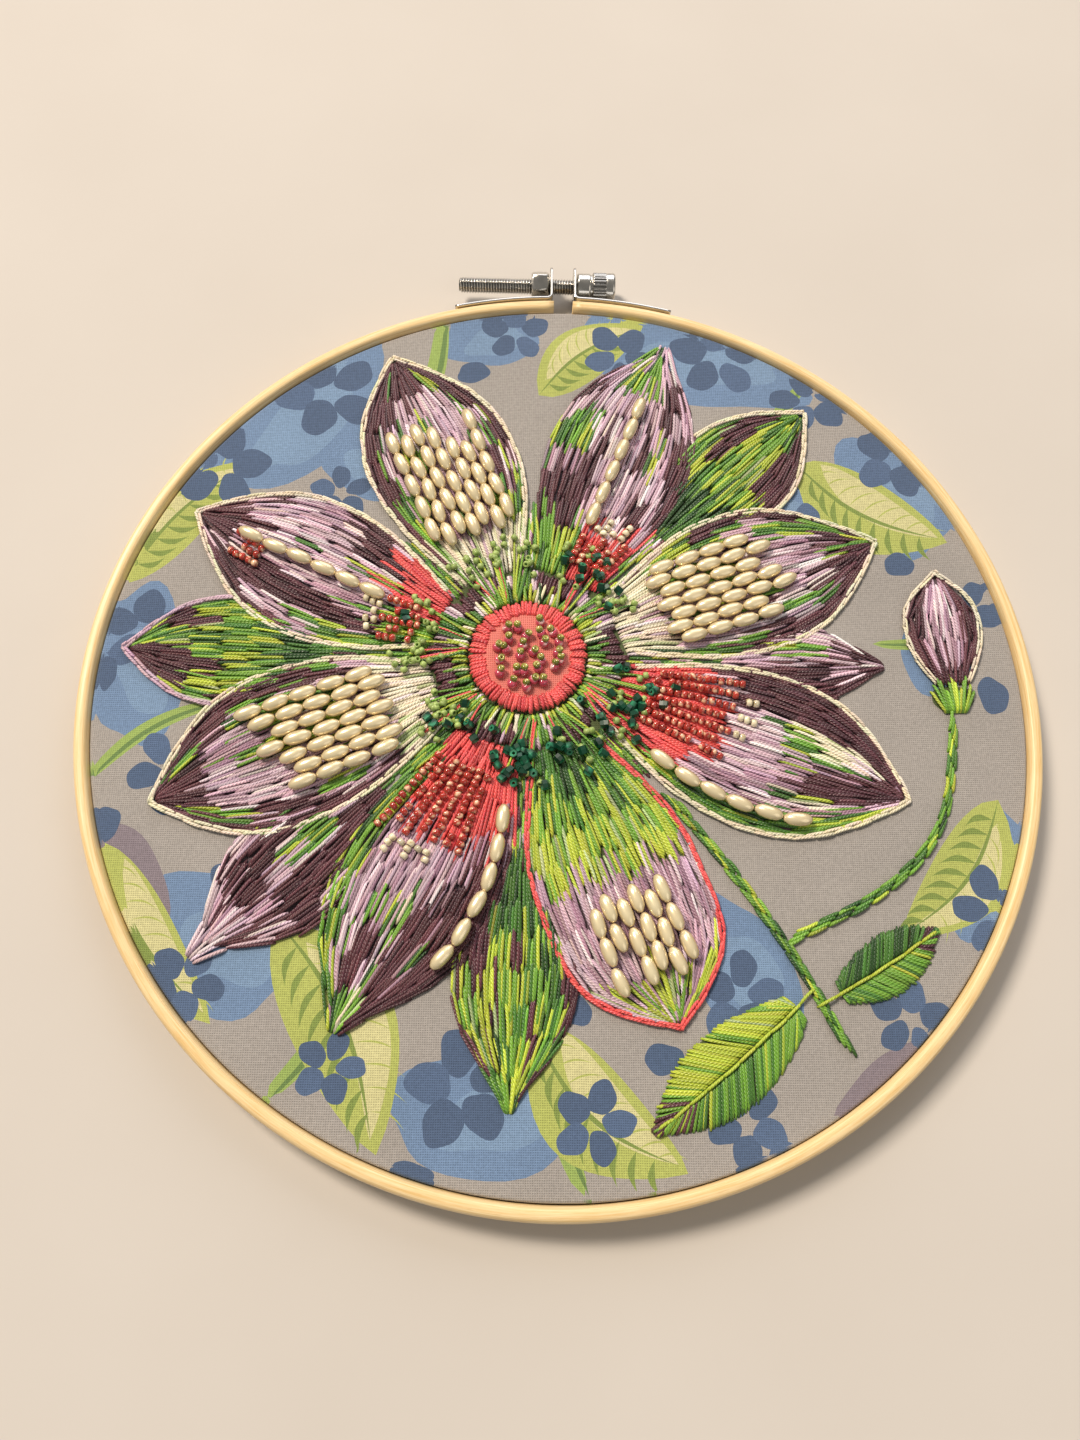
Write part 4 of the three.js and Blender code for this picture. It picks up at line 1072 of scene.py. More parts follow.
rng = np.random.default_rng(320)
bud = SPRAY["bud"]
starts, ends, base, size, shades = long_and_short(bud, bud_petal, 7, rng)
bud_parts = [laid_threads(starts, ends, base, STITCH_LIFT, size, shades, rng)]
for way in (-1, 1):
    bud_parts += back_stitched(edge_route(bud, way), "cream", rng, 0.6)
thread_piece("bud_stitches", bud_parts, bud["slot"], "bud")
lobe = np.linspace(-1, 1, 15)  # the cup's stitches fan out to three points
cup_base = petal_point(SPRAY["bud_cup"], np.zeros(lobe.size), lobe * 2.2)
cup_tip = petal_point(SPRAY["bud_cup"], 1.1 + 0.3 * np.cos(3 * np.pi * lobe), lobe * 5.0)
cup_part = laid_threads(cup_base, cup_tip, STITCH_BASE + rng.uniform(0.2, 0.4, lobe.size), 0.3,
                        THREAD_WIDTH, spun(["spring"] * lobe.size, rng), rng)
thread_piece("bud_cup_stitches", [cup_part], "green_thread", "bud_cup")

STEMS = {
    "stem_main": [(21.5, -21), (38, -42), (49, -59), (58, -76)],
    "stem_bud": [(45.2, -53), (67, -42), (81, -27), (87, -0.6)],
}
STEM_STITCH = 5.0  # mm
STEM_SET_BACK = 1.3  # mm from the start of one stitch to the next
STEM_LANES = [-0.85, -0.28, 0.28, 0.85]  # mm aside, taken in turn
ROUTE_POINTS = 200


def smooth_route(points):
    """Points evenly along a Catmull-Rom curve through the given ones, and its length."""
    points = np.array(points, float)
    padded = np.concatenate([[2 * points[0] - points[1]], points, [2 * points[-1] - points[-2]]])
    place = np.linspace(0, len(points) - 1, ROUTE_POINTS)
    span = np.minimum(place.astype(int), len(points) - 2)
    t = (place - span)[:, None]
    a, b, c, d = (padded[span + k] for k in range(4))
    square, cube = 2 * a - 5 * b + 4 * c - d, 3 * b - a - 3 * c + d
    curve = 0.5 * (2 * b + (c - a) * t + square * t ** 2 + cube * t ** 3)
    length = run_of(curve)
    return spots_along(curve, length, np.linspace(0, length[-1], ROUTE_POINTS)), length[-1]


for k, (name, points) in enumerate(STEMS.items()):
    rng = np.random.default_rng(340 + k)
    route, total = smooth_route(points)
    normal = beside(np.gradient(route, axis=0))
    begin = np.arange(0, total - STEM_STITCH, STEM_SET_BACK)
    lane = np.resize(STEM_LANES, begin.size)
    end = ROUTE_POINTS - 1
    first, last = (np.clip(at / total * end, 0, end).astype(int) for at in (begin, begin + STEM_STITCH))
    stem_part = laid_threads(route[first] + normal[first] * lane[:, None],
                             route[last] + normal[last] * 0.8 * lane[:, None],
                             STITCH_BASE + rng.uniform(0.05, 0.25, begin.size), 0.25,
                             0.8, spun(["greens"] * begin.size, rng), rng)
    thread_piece(f"{name}_stitches", [stem_part], "green_thread", name)

# ==== middle of the flower ====
# A padded disc of coral cloth with a satin-stitched rim, and a ring of radial stitches around it:
# greens and creams near the button, then aubergine and lilac.
button_low, button_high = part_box("button")
BUTTON_RADIUS = (button_high.x - button_low.x) / 2 / MM
BUTTON_TOP = button_high.z / MM
BUTTON_SIDES = 72
PAD_RADIUS = BUTTON_RADIUS - 0.6
PAD_LEAST = 0.02  # mm, the radius of the small flat at the top

# Dyed cotton: matt, with the gaps between the threads painted darker than their tops: painted shade.
coral_cloth, tree, shader = finish("coral_dyed_cotton", Roughness=0.8, Sheen_Weight=0.15)
ribs = crossed_ribs(tree, node(tree, "ShaderNodeTexCoord", out="Object"), {"Distortion": 1.2})
shades = {0: ribs, 6: colour("#C9584F"), 7: colour("#E8897D")}
tree.links.new(node(tree, "ShaderNodeMix", shades, 2, data_type="RGBA"), shader.inputs["Base Color"])
relief = node(tree, "ShaderNodeBump", {"Height": ribs, "Distance": 0.1 * MM})
tree.links.new(relief, shader.inputs["Normal"])
rings = np.linspace(0, 1, 14)
dome_radius = np.maximum(np.append(PAD_RADIUS * np.sin(rings * np.pi / 2), PAD_RADIUS), PAD_LEAST)
dome_rise = (BUTTON_TOP - STITCH_BASE - 0.3) * np.cos(rings * np.pi / 2) ** 0.5
dome_height = np.append(STITCH_BASE + 0.2 + dome_rise, STITCH_BASE - 0.15)
turn = np.linspace(0, 2 * np.pi, BUTTON_SIDES, endpoint=False)
dome = np.stack([np.outer(dome_radius, np.cos(turn)) + BLOOM[0],
                 np.outer(dome_radius, np.sin(turn)) + BLOOM[1],
                 np.repeat(dome_height[:, None], BUTTON_SIDES, 1)], -1).reshape(-1, 3)
button = shown("button_pad", dome, tube_faces(dome_height.size, BUTTON_SIDES), coral_cloth)
fitted(button, "hoop", "coral_thread", "button")


def radial_threads(inner, outer, base, width, families, rng, wobble=0.0):
    """Stitches that point away from the flower's middle, each between its own two radii."""
    count = len(inner)
    turn = 2 * np.pi * (np.arange(count) + rng.uniform(-0.3, 0.3, count)) / count
    lean = turn + rng.normal(0, wobble, count)
    return laid_threads(BLOOM + directions(turn) * inner[:, None], BLOOM + directions(lean) * outer[:, None],
                        base + rng.uniform(0, 0.2, count), 0.3, width, spun(families, rng), rng)


RIM_COUNT, OUTER_COUNT, INNER_COUNT = 120, 170, 130  # stitches in each ring
rng = np.random.default_rng(400)
satin = radial_threads(rng.uniform(8.8, 9.8, RIM_COUNT), rng.uniform(12.8, 13.5, RIM_COUNT),
                       BUTTON_TOP - 0.72, 0.78, ["corals"] * RIM_COUNT, rng, 0.015)
thread_piece("button_rim_stitches", [satin], "coral_thread")
turn = 2 * np.pi * np.arange(OUTER_COUNT) / OUTER_COUNT
sector = np.sin(6 * turn + 0.5) + 0.5 * np.sin(11 * turn) + rng.normal(0, 0.25, OUTER_COUNT)
outer_families = np.where(sector > -0.1, "darks", np.where(sector > -0.9, "lilacs", "greens"))
inner_shares = (("spring", 0.5), ("limes", 0.24), ("creams", 0.2), ("forest", 0.06))
inner_families = dealt(rng.random(INNER_COUNT), inner_shares)
outer_part = radial_threads(rng.uniform(15.4, 17.4, OUTER_COUNT),
                            21.4 + 0.9 * np.cos(12 * turn) + rng.normal(0, 0.4, OUTER_COUNT),
                            STITCH_BASE + 0.1, 0.82, outer_families, rng)
inner_part = radial_threads(rng.uniform(12.9, 13.5, INNER_COUNT), rng.uniform(16.4, 19.8, INNER_COUNT),
                            STITCH_BASE + 0.32, 0.74, inner_families, rng, 0.03)
thread_piece("cup_ring_stitches", [outer_part, inner_part], "aubergine_thread", "cup_ring")

# ==== oval pearls ====
# Moulded plastic pearls 6 by 3 mm with a cream pearly coat, threaded lengthwise and sewn down in columns.
PEARL_LENGTH = 6.1
PEARL_WIDTH = 3.0
PEARL_SIDES = 12
PEARL_RINGS = 8
PEARL_HOLE = 0.5  # mm, the least radius, at the blunt ends
PEARL_PITCH = 6.2
PEARL_BESIDE = 3.08
PEARL_FIELD = 22.4  # mm, the width of a field where it starts
PEARL_MIDDLE = CLOTH_FACE + 2.7  # height of a pearl's axis

# Plastic dipped in a pearly lacquer: a sharp shine over a soft metallic one, with clouds of 2.4 mm, and
# painted golden shade where the surface turns away from the view.
pearl_coat, tree, shader = finish("pearlised_plastic", Metallic=0.32, Roughness=0.27, Coat_Weight=1.0,
                                  Coat_Roughness=0.1)
place = node(tree, "ShaderNodeTexCoord", out="Object")
dye = node(tree, "ShaderNodeAttribute", out="Color", attribute_name="thread")
lustre = node(tree, "ShaderNodeTexNoise", {"Vector": place, "Scale": 420.0, "Detail": 2.0}, "Fac")
# Painted shade: the colour turns darker and golden where the surface faces away from the view.
edge = node(tree, "ShaderNodeLayerWeight", {"Blend": 0.42}, "Facing")
soft = node(tree, "ShaderNodeMix", {0: lustre, 6: dye, 7: colour("#F6E6BA")}, 2, data_type="RGBA")
shades = {0: edge, 6: soft, 7: colour("#AD8B4C")}
tree.links.new(node(tree, "ShaderNodeMix", shades, 2, data_type="RGBA"), shader.inputs["Base Color"])


def circles_about(ahead, helper, count):
    """Each axis made a unit vector, and count unit vectors round it, the first square to the helper."""
    turn = 2 * np.pi * np.arange(count) / count
    ahead = ahead / np.linalg.norm(ahead, axis=1)[:, None]
    side = np.cross(helper, ahead)
    side /= np.linalg.norm(side, axis=1)[:, None]
    up = np.cross(ahead, side)
    return ahead, np.cos(turn)[None, :, None] * side[:, None] + np.sin(turn)[None, :, None] * up[:, None]


def oval_beads(centres, ahead, tint):
    """Ovals turned about their long axis.

    The half width is the square root of one less the share of the length to the power of 3.1, so
    the sides stay full and the ends close fast.
    """
    share = np.sin(np.linspace(-np.pi / 2, np.pi / 2, PEARL_RINGS))
    size = np.maximum(PEARL_WIDTH / 2 * (1 - np.abs(share) ** 3.1) ** 0.5, PEARL_HOLE)
    ahead, circle = circles_about(ahead, [0.0, 0.0, 1.0], PEARL_SIDES)
    points = (centres[:, None, None] + ahead[:, None, None] * (share * PEARL_LENGTH / 2)[None, :, None, None]
              + circle[:, None] * size[None, :, None, None])
    per = PEARL_RINGS * PEARL_SIDES
    faces = repeated(tube_faces(PEARL_RINGS, PEARL_SIDES)[:, ::-1], per, len(centres))
    return points.reshape(-1, 3), faces, np.repeat(tint, per, axis=0)


def tinted(code, count, rng, spread=0.1):
    """The same colour for each bead, a little lighter or darker by turns."""
    tint = np.tile(colour(code), (count, 1))
    tint[:, :3] *= rng.normal(1, spread, (count, 1))
    return np.clip(tint, 0, 1)


# Fields have several columns, each second one set on by a third of a pearl; single threads have one.
# node, petal, start in mm, rows, columns, share of the half width aside, spread of a field
PEARL_SETS = [
    ("pearls_1", 0, 9, 5, 9, 0.0, 0.24), ("pearls_2", 1, 12, 6, 1, 0.0, 0.0),
    ("pearls_3", 2, 9, 5, 9, 0.0, 0.24), ("pearls_4", 3, 10, 6, 1, 0.78, 0.0),
    ("pearls_5", 4, 33, 3, 8, 0.0, 0.04), ("pearls_6", 5, 10, 6, 1, -0.78, 0.0),
    ("pearls_7", 6, 9, 5, 9, 0.0, 0.24), ("pearls_8", 7, 12, 6, 1, 0.0, 0.0),
]
for k, (name, petal, first, rows, columns, across, spread) in enumerate(PEARL_SETS):
    rng = np.random.default_rng(500 + k)
    row = PETALS[petal]
    is_field = columns > 1
    line, file = np.divmod(np.arange(rows * columns), columns)
    column = file - (columns - 1) / 2
    run = (line + 0.5 + (0.34 * (file % 2) if is_field else 0.0)) * PEARL_PITCH
    share = (first + run - (0.9 if is_field else 0)) / row["length"]
    fan = 0.05 * (run / PEARL_PITCH - rows / 2) if is_field else 0.0
    aside = across * half_width(row, share) + column * (PEARL_BESIDE + fan)
    room = (PEARL_FIELD * (1 + spread * run / (rows * PEARL_PITCH))) / 2 - 0.9
    inside = (np.abs(aside) < room) & (np.abs(aside) < 0.95 * half_width(row, share) - 1.5)
    keep = (line < rows - 1) | (rng.random(line.size) < (0.72 if is_field else 1.0))
    keep &= inside | (not is_field)
    share, aside, column = share[keep], aside[keep], column[keep]
    there_share = share + 0.02
    there_aside = aside + across * (half_width(row, there_share) - half_width(row, share)) + 0.012 * column
    here, there = petal_point(row, share, aside), petal_point(row, there_share, there_aside)
    ahead = np.column_stack([there - here + rng.normal(0, 0.06, here.shape), rng.normal(0, 0.03, len(here))])
    centres = np.column_stack([here + rng.normal(0, 0.1, here.shape),
                               PEARL_MIDDLE + rng.normal(0, 0.05, len(here))])
    points, faces, tint = oval_beads(centres, ahead, tinted("#FFF1CB", len(here), rng, 0.03))
    pearls = shown(f"{name}_threaded", points, faces, pearl_coat, [tint[faces.ravel()]])
    fitted(pearls, "hoop", "pearl", name)

# ==== seed beads ====
# Round glass beads about 1.8 mm across with a second colour in the hole and as painted glints: coral
# ones threaded in rows at the petals' roots with cream ones beyond them, and pink ones topped with olive
# ones on the button.
SEED_WIDTH = 1.85
SEED_LENGTH = 1.4
SEED_PITCH = 1.45
SEED_MIDDLE = STITCH_BASE + 1.35  # height of a bead's axis

# Glass: very glossy; its colour comes by face corner, with the hole and painted glints in a second colour.
seed_glass, tree, shader = finish("bead_glass_painted_glints", Roughness=0.1, Coat_Weight=0.9, Coat_Roughness=0.03,
                                  IOR=1.52)
dye = node(tree, "ShaderNodeAttribute", out="Color", attribute_name="thread")
tree.links.new(dye, shader.inputs["Base Color"])


def ring_beads(centres, ahead, width, length, belly, hole_and_glint, rng, sparkle=0.0, around=8, square=1.0):
    """Beads with a hole: a flattened ring of section points carried round the hole's axis.

    The wall near the hole takes the second colour: the lining in lined beads, painted shade in the hole
    where it is darker. A share sparkle of the belly's points takes it too, as painted glints where it is
    lighter. A power square of less than 1 makes flat facets.
    """
    section = 6
    angle = 2 * np.pi * np.arange(section) / section
    hole, wall = 0.28 * width / 2, 0.72 * width / 2
    radius = hole + wall / 2 + wall / 2 * np.sign(np.cos(angle)) * np.abs(np.cos(angle)) ** square
    reach = length / 2 * np.sign(np.sin(angle)) * np.abs(np.sin(angle)) ** square
    upright = np.abs(ahead[:, 2:]) / np.linalg.norm(ahead, axis=1)[:, None] > 0.9
    ahead, circle = circles_about(ahead, np.where(upright, [[1.0, 0.0, 0.0]], [[0.0, 0.0, 1.0]]), around)
    points = (centres[:, None, None] + circle[:, :, None] * radius[None, None, :, None]
              + ahead[:, None, None] * reach[None, None, :, None])
    per = around * section
    faces = repeated(grid_faces(around, section, round_rows=True, round_columns=True), per, len(centres))
    inward = np.clip((hole + wall * 0.62 - radius) / (wall * 0.62), 0, 1)[None, None, :, None]
    glow = np.maximum(inward, rng.random((len(centres), around, section, 1)) < sparkle)
    tint = belly[:, None, None] * (1 - glow) + hole_and_glint[:, None, None] * glow
    return points.reshape(-1, 3), faces, np.zeros((len(centres) * per, 2)), tint.reshape(-1, 4)


def bead_piece(name, parts, *nodes):
    """One piece from several groups of beads."""
    points, faces, layers = joined(parts)
    fitted(shown(name, points, faces, seed_glass, layers[1:]), "hoop", "seed_bead", *nodes)


# By default the second colour is lighter than the bead: a lining in the hole, and painted glints.
def seed_rows(row, first, length, columns, pitch, spread, across, rng, skip=0.04,
              belly="#B5382B", hole_and_glint="#FFD6AE"):
    """Threaded rows of seed beads along a petal, fanned out as the petal widens, with ragged ends.

    first and length are in mm along the petal; skip is the share of places left without a bead.
    """
    count = int(length / SEED_PITCH)
    line, file = np.divmod(np.arange(count * columns), columns)
    keep = rng.random(line.size) > skip
    keep &= line < count - (2.5 * np.abs(np.sin(1.7 * file))).astype(int)
    line, file = line[keep], file[keep]
    run = (line + 0.5) / count
    share = (first + run * length + 0.4 * np.sin(2.3 * file)) / row["length"]
    aside = across * half_width(row, share) + (file - (columns - 1) / 2) * pitch * (1 + spread * run)
    here = petal_point(row, share, aside)
    there = petal_point(row, share + 0.02, aside * (1 + 0.02 * spread * row["length"] / length))
    ahead = np.column_stack([there - here + rng.normal(0, 0.08, here.shape), rng.normal(0, 0.08, len(here))])
    centres = np.column_stack([here + rng.normal(0, 0.08, here.shape),
                               SEED_MIDDLE + rng.normal(0, 0.07, len(here))])
    return ring_beads(centres, ahead, SEED_WIDTH, SEED_LENGTH, tinted(belly, len(here), rng, 0.14),
                      tinted(hole_and_glint, len(here), rng, 0.05), rng, 0.15)


rng = np.random.default_rng(600)
for petal, across in ((3, -0.25), (5, 0.25)):
    name = f"seed_rows_{petal + 1}"
    bead_piece(f"{name}_threaded", [seed_rows(PETALS[petal], 5, 20, 7, 1.9, 0.6, across, rng)], name)
#            petal, from, length, columns, across
ROOT_BEADS = [(1, 2, 9.5, 5, 0.4), (7, 2, 9.5, 5, -0.4), (1, 42, 8, 3, 0.25)]
root_parts = [seed_rows(PETALS[petal], first, length, columns, 1.9, 0.3, across, rng, 0.08)
              for petal, first, length, columns, across in ROOT_BEADS]
#             petal, from, length, columns, across
CREAM_BEADS = [(1, 11.5, 5, 4, 0.4), (7, 11.5, 5, 4, -0.4), (3, 25, 4.5, 5, -0.3), (5, 25, 4.5, 5, 0.3)]
# The cream beads have a darker second colour: painted shade in the hole.
root_parts += [seed_rows(PETALS[petal], first, length, columns, 1.95, 0.2, across, rng, 0.2,
                         "#EDE2C2", "#B9A673") for petal, first, length, columns, across in CREAM_BEADS]
bead_piece("root_seed_beads", root_parts)

# Stacks stand on the button in the order of seeds in a sunflower, each a golden angle on from the last.
STACKS = 27
STACKS_RADIUS = 8.5
GOLDEN_ANGLE = math.radians(137.5)
stack = np.arange(STACKS) + 0.5
reach = STACKS_RADIUS * np.sqrt(stack / STACKS)
spots = BLOOM + directions(stack * GOLDEN_ANGLE) * reach[:, None] + rng.normal(0, 0.6, (STACKS, 2))
lean = np.column_stack([rng.normal(0.1, 0.35, (STACKS, 1)), rng.normal(0.55, 0.3, (STACKS, 1)),
                        np.ones(STACKS)])
lean /= np.linalg.norm(lean, axis=1)[:, None]
foot = np.column_stack([spots, BUTTON_TOP - 0.25 * (reach / BUTTON_RADIUS) ** 2 + 0.45])
# The pink and olive beads have a lighter second colour: painted glints and a bright hole.
pink = ring_beads(foot, lean, 2.3, 1.65, tinted("#C4475E", STACKS, rng),
                  tinted("#FBD9D2", STACKS, rng, 0.04), rng, 0.1)
olive = ring_beads(foot + lean * 1.3, lean, 1.8, 1.15, tinted("#767A20", STACKS, rng),
                   tinted("#D9CC7A", STACKS, rng, 0.06), rng, 0.1)
bead_piece("button_seed_beads", [pink, olive])

# ==== stamens ====
# Clumps of fine green and coral stitches over the petals' roots. Some end in pale-green beads and some
# in cut emerald ones, with as many again scattered beside them.
#                 angle, spread in degrees, stitches, share that ends in a cut bead
STAMEN_CLUMPS = [(50, 24, 17, 0.35), (112, 22, 16, 0.0), (165, 20, 17, 0.05), (222, 22, 16, 0.2),
                 (284, 26, 20, 0.75), (338, 22, 18, 0.8)]
STAMEN_SHARES = (("spring", 0.6), ("limes", 0.2), ("coral", 0.2))
rng = np.random.default_rng(640)
middle, spread, cut_share = np.concatenate(
    [np.tile([[angle], [spread], [share]], count) for angle, spread, count, share in STAMEN_CLUMPS], axis=1)
count = middle.size
fan = rng.uniform(-1, 1, count)
root_turn, tip_turn = (np.radians(middle + fan * spread * part) for part in (0.55, 1.0))
stamen_from = BLOOM + directions(root_turn) * rng.uniform(13.2, 14.6, (count, 1))
stamen_to = BLOOM + directions(tip_turn) * rng.uniform(20.0, 29.5, (count, 1))
shades = spun(dealt(rng.random(count), STAMEN_SHARES), rng)
stamen_part = laid_threads(stamen_from, stamen_to, STITCH_BASE + 0.8, 0.3, 0.55, shades, rng)
cut_bead = rng.random(count) < cut_share
tips = np.column_stack([stamen_to, np.full(count, SEED_MIDDLE)])
knots, jewels = tips[~cut_bead], tips[cut_bead] + [0.0, 0.0, 0.35]
knots = np.concatenate([knots, knots + rng.normal(0, 1.5, (len(knots), 3)) * [1, 1, 0]])
# The pale-green beads have a darker second colour: painted shade in the hole.
knot_part = ring_beads(knots, rng.normal(0, 1, (len(knots), 3)) * [1, 1, 0.5], 1.65, 1.3,
                       tinted("#B9D27A", len(knots), rng), tinted("#8DAE50", len(knots), rng), rng, 0.15)
thread_piece("stamen_stitches", [stamen_part, knot_part], "green_thread")
jewels = np.concatenate([jewels, jewels + rng.normal(0, 3.0, (len(jewels), 3)) * [1, 1, 0.04]])
# The cut beads have a lighter second colour: painted glints on some facets and in the hole.
jewel_part = ring_beads(jewels, rng.normal(0, 1, (len(jewels), 3)) * [1, 1, 0.5], 2.1, 1.9,
                        tinted("#0C3D2A", len(jewels), rng, 0.25), tinted("#3F9A73", len(jewels), rng),
                        rng, sparkle=0.12, around=6, square=0.5)
# Cut glass: dark, with flat facets, each with its own shine, and painted glints in its colour.
cut_glass, tree, shader = finish("cut_glass", Roughness=0.3, IOR=1.5)
dye = node(tree, "ShaderNodeAttribute", out="Color", attribute_name="thread")
tree.links.new(dye, shader.inputs["Base Color"])
points, faces, layers = joined([jewel_part])
fitted(shown("emerald_beads", points, faces, cut_glass, layers[1:], smooth=False), "hoop", "seed_bead")

# ==== closure: plates, nut and thumb screw ====
# Nickel-plated steel. Two strips bent into a leg and an ear are pinned to the ring's outer wall; the
# screw passes both ears and a hexagonal nut, and its knurled head bears on the right ear.
screw_low, screw_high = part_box("screw")
nut_low, nut_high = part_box("nut")
SCREW_Y = ((screw_low.y + screw_high.y) / 2 - RINGS_CENTRE[1]) / MM
SCREW_Z = (screw_low.z + screw_high.z) / 2 / MM
THREAD_RADIUS = 1.92
THREAD_PITCH = 0.7  # M4
THREAD_DEPTH = 0.34
SCREW_SIDES = 104
HEAD_START = 3.6  # x of the head's near face
COLLAR_END = 7.0
KNURL_START = 7.6
KNURL_END = 11.1
HEAD_END = screw_high.x / MM
FLUTES = 26
FLUTE_DEPTH = 0.2


def plated(name, shaded_grooves=False):
    """Nickel plate: bright metal, dulled in clouds of 3 mm that make its gloss uneven.

    With the second argument set, the grooves are darkened by the colour of the face corners: painted shade.
    """
    material, tree, shader = finish(name, Metallic=1.0)
    place = node(tree, "ShaderNodeTexCoord", out="Object")
    dull = node(tree, "ShaderNodeTexNoise", {"Vector": place, "Scale": 350.0, "Detail": 3.0}, "Fac")
    gloss = node(tree, "ShaderNodeMapRange", {"Value": dull, "To Min": 0.12, "To Max": 0.3})
    tree.links.new(gloss, shader.inputs["Roughness"])
    tone = node(tree, "ShaderNodeMix", {0: dull, 6: colour("#BDBAB3"), 7: colour("#E0DDD6")}, 2,
                data_type="RGBA")
    if shaded_grooves:
        depth = node(tree, "ShaderNodeAttribute", out="Color", attribute_name="thread")
        tone = node(tree, "ShaderNodeVectorMath", {0: tone, 1: depth}, operation="MULTIPLY")
    tree.links.new(tone, shader.inputs["Base Color"])
    return material


nickel = plated("nickel_plated_steel")


def about_screw(along, radius, turn):
    """Points about the screw's axis: radius has a value for each place along it and each angle."""
    return np.stack([np.repeat(along[:, None], turn.size, 1), SCREW_Y + radius * np.cos(turn),
                     SCREW_Z + radius * np.sin(turn)], -1).reshape(-1, 3)


# The thread winds once round the shank for each pitch; the head is turned to a profile and knurled.
turn = 2 * np.pi * np.arange(SCREW_SIDES) / SCREW_SIDES
tail = np.arange(screw_low.x / MM, HEAD_START, THREAD_PITCH / 7)
wind = (tail[:, None] / THREAD_PITCH - turn / (2 * np.pi)) % 1.0
ridge = 1 - np.abs(2 * wind - 1)
fade = np.clip((tail - tail[0]) / 0.7, 0, 1)[:, None]
crest = np.clip(1.5 * ridge - 0.25, 0, 1)
shank = THREAD_RADIUS - THREAD_DEPTH * (1 - crest) - 0.35 * (1 - fade)
head_profile = [  # x, radius
    (HEAD_START, 2.6), (HEAD_START + 0.05, 3.15), (HEAD_START + 0.35, 3.4), (COLLAR_END - 0.3, 3.42),
    (COLLAR_END, 3.3), (COLLAR_END + 0.08, 3.12), (KNURL_START - 0.08, 3.12), (KNURL_START, 3.4),
    (KNURL_START + 0.25, 3.68), (KNURL_END - 0.3, 3.7), (KNURL_END, 3.6), (KNURL_END + 0.3, 3.66),
    (HEAD_END - 0.6, 3.7), (HEAD_END - 0.2, 3.52), (HEAD_END - 0.05, 3.2), (HEAD_END, 2.7),
]
head_x, head_r = np.array(head_profile).T
head_along = np.unique(np.concatenate([head_x, np.linspace(HEAD_START, HEAD_END, 60)]))
head = np.interp(head_along, head_x, head_r)[:, None] * np.ones((1, SCREW_SIDES))
knurled = np.clip((head_along - KNURL_START) / 0.25, 0, 1) * np.clip((KNURL_END - head_along) / 0.25, 0, 1)
flute = knurled[:, None] * (0.5 + 0.5 * np.cos(FLUTES * turn))
head -= FLUTE_DEPTH * flute
screw_points = about_screw(np.concatenate([tail, head_along]), np.concatenate([shank, head]), turn)
screw_faces = tube_faces(tail.size + head_along.size, SCREW_SIDES)[:, ::-1]
# The face corners darken the thread's roots and the knurl's flutes: painted shade in the grooves.
tint = np.repeat(np.concatenate([0.35 + 0.65 * crest, 1 - 0.75 * flute]).reshape(-1, 1), 4, 1)
tint[:, 3] = 1
thumb_screw = shown("thumb_screw", screw_points, screw_faces, plated("nickel_plate_painted_groove_shade", shaded_grooves=True),
                    [tint[screw_faces.ravel()]])
fitted(thumb_screw, "screw", "nickel", "screw")

NUT_FLATS = 6.6
NUT_TURN = math.radians(50)
NUT_SIDES = 96
turn = 2 * np.pi * np.arange(NUT_SIDES) / NUT_SIDES
toward_flat = (turn - NUT_TURN + np.pi / 6) % (np.pi / 3) - np.pi / 6
hexagon = NUT_FLATS / 2 / np.cos(toward_flat)
nut_inset = np.array([0, 0, 0.2, 0.55])  # from each end, with the chamfer's radius there
nut_along = np.concatenate([nut_low.x / MM + nut_inset, nut_high.x / MM - nut_inset[::-1]])
chamfer = np.array([2.02, 3.1, 3.42, 4.2])
nut_radius = np.minimum(hexagon[None], np.concatenate([chamfer, chamfer[::-1]])[:, None])
nut_faces = grid_faces(nut_along.size, NUT_SIDES, round_rows=True, round_columns=True)[:, ::-1]
hex_nut = shown("hex_nut", about_screw(nut_along, nut_radius, turn), nut_faces, nickel)
fitted(hex_nut, "hoop", "nickel", "nut")

PLATE_THICKNESS = 0.7
PLATE_HALF = 4.0  # half its width
PLATE_SIDES = 28
EAR_FACE = 2.6  # x of the ear's inner face
EAR_RISE = 4.1  # from the screw's axis to the ear's top
EAR_ROUNDING = 2.6
PLATE_BEND = 0.8  # inside radius
PLATE_REACH = 27.0  # x of the leg's far end
PLATE_GAP = 0.3
BRAD_RADIUS = 1.1
BRAD_SIDES = 20


def plate_path():
    """The middle line of a bent plate in X and Y: an arc along the ring, a bend, and up the ear."""
    middle = OUTER_RADIUS + PLATE_GAP + PLATE_THICKNESS / 2
    bend_radius = PLATE_BEND + PLATE_THICKNESS / 2
    bend_x = EAR_FACE + PLATE_THICKNESS / 2 + bend_radius
    bend_y = math.sqrt(middle ** 2 - bend_x ** 2) + bend_radius
    leg = np.linspace(math.acos(PLATE_REACH / middle), math.acos(bend_x / middle), 22)
    corner = np.linspace(1.5 * np.pi, np.pi, 8)[1:]
    rise = np.linspace(bend_y, SCREW_Y + EAR_RISE, 26)[1:]
    x = np.concatenate([middle * np.cos(leg), bend_x + bend_radius * np.cos(corner),
                        np.full(rise.size, bend_x - bend_radius)])
    y = np.concatenate([middle * np.sin(leg), bend_y + bend_radius * np.sin(corner), rise])
    return x, y


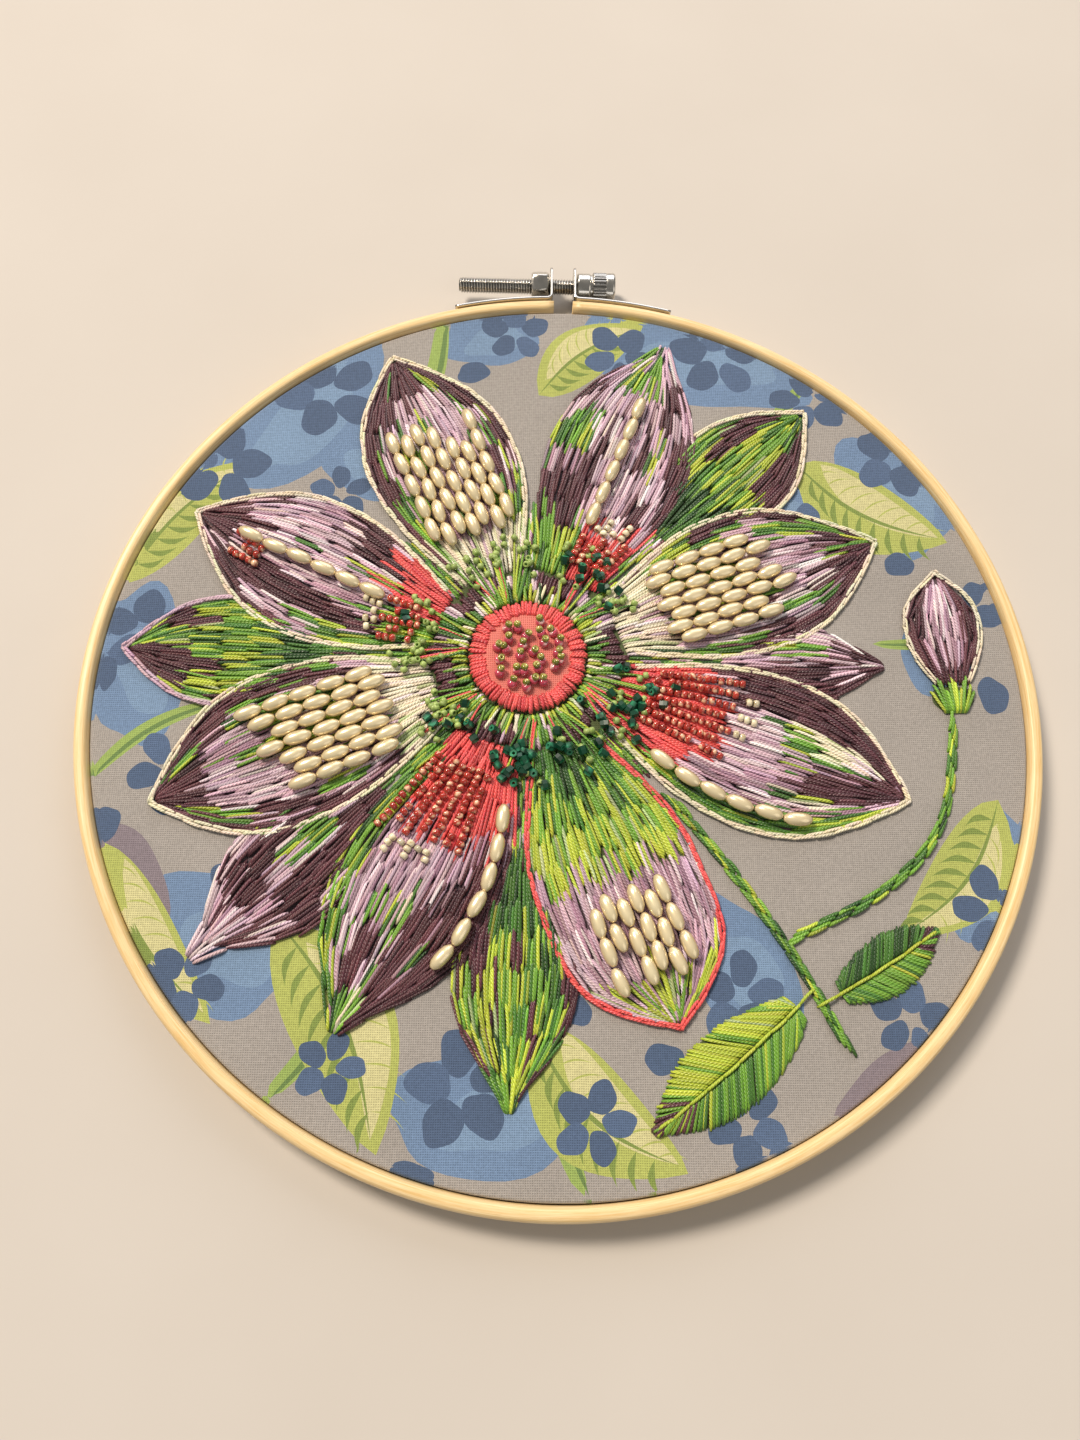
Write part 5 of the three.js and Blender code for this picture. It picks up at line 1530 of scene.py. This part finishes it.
def bent_plate(way):
    """A rounded strip carried along the plate's line; near the ear's top its width closes as a circle."""
    x, y = plate_path()
    off = beside(np.stack([np.gradient(x), np.gradient(y)], -1))
    rise = np.clip((y - (SCREW_Y + EAR_RISE - EAR_ROUNDING)) / EAR_ROUNDING, 0, 1)
    half = PLATE_HALF - EAR_ROUNDING * (1 - np.sqrt(np.clip(1 - rise ** 2, 0, 1)))
    across, up = squared_circle(6.0, PLATE_SIDES)
    depth = across * PLATE_THICKNESS / 2
    height = SCREW_Z + half[:, None] * (np.sign(up) * np.abs(up) ** 0.35)
    points = np.stack([x[:, None] + off[:, :1] * depth, y[:, None] + off[:, 1:] * depth, height], -1)
    points[..., 0] *= way
    return points.reshape(-1, 3), tube_faces(len(x), PLATE_SIDES)


def brad(way):
    """The low round head of the pin at the plate's far end."""
    outside = OUTER_RADIUS + PLATE_GAP + PLATE_THICKNESS
    turn_at = math.acos(PLATE_REACH / (OUTER_RADIUS + PLATE_GAP)) + 1.6 / outside
    out = np.array([math.cos(turn_at), math.sin(turn_at), 0.0])
    flat = np.array([-out[1], out[0], 0.0])
    rise = np.linspace(0, np.pi / 2, 6)
    ring = 2 * np.pi * np.arange(BRAD_SIDES) / BRAD_SIDES
    size = np.concatenate([[BRAD_RADIUS], np.maximum(BRAD_RADIUS * np.cos(rise), 0.03)])
    lift = np.concatenate([[-0.2], 0.4 * np.sin(rise)])
    points = (out * (outside + lift[:, None, None]) + flat * (size[:, None] * np.cos(ring))[..., None]
              + np.array([0.0, 0.0, 1.0]) * (size[:, None] * np.sin(ring))[..., None])
    points[..., 2] += SCREW_Z
    points[..., 0] *= way
    return points.reshape(-1, 3), tube_faces(len(size), BRAD_SIDES)


for way, name in ((1, "plate_right"), (-1, "plate_left")):
    plate_points, plate_faces = bent_plate(way)
    brad_points, brad_faces = brad(way)
    faces = np.concatenate([plate_faces, brad_faces + len(plate_points)])[:, ::-way]
    plate = shown(f"bent_{name}", np.concatenate([plate_points, brad_points]), faces, nickel)
    fitted(plate, "hoop", "nickel", name)
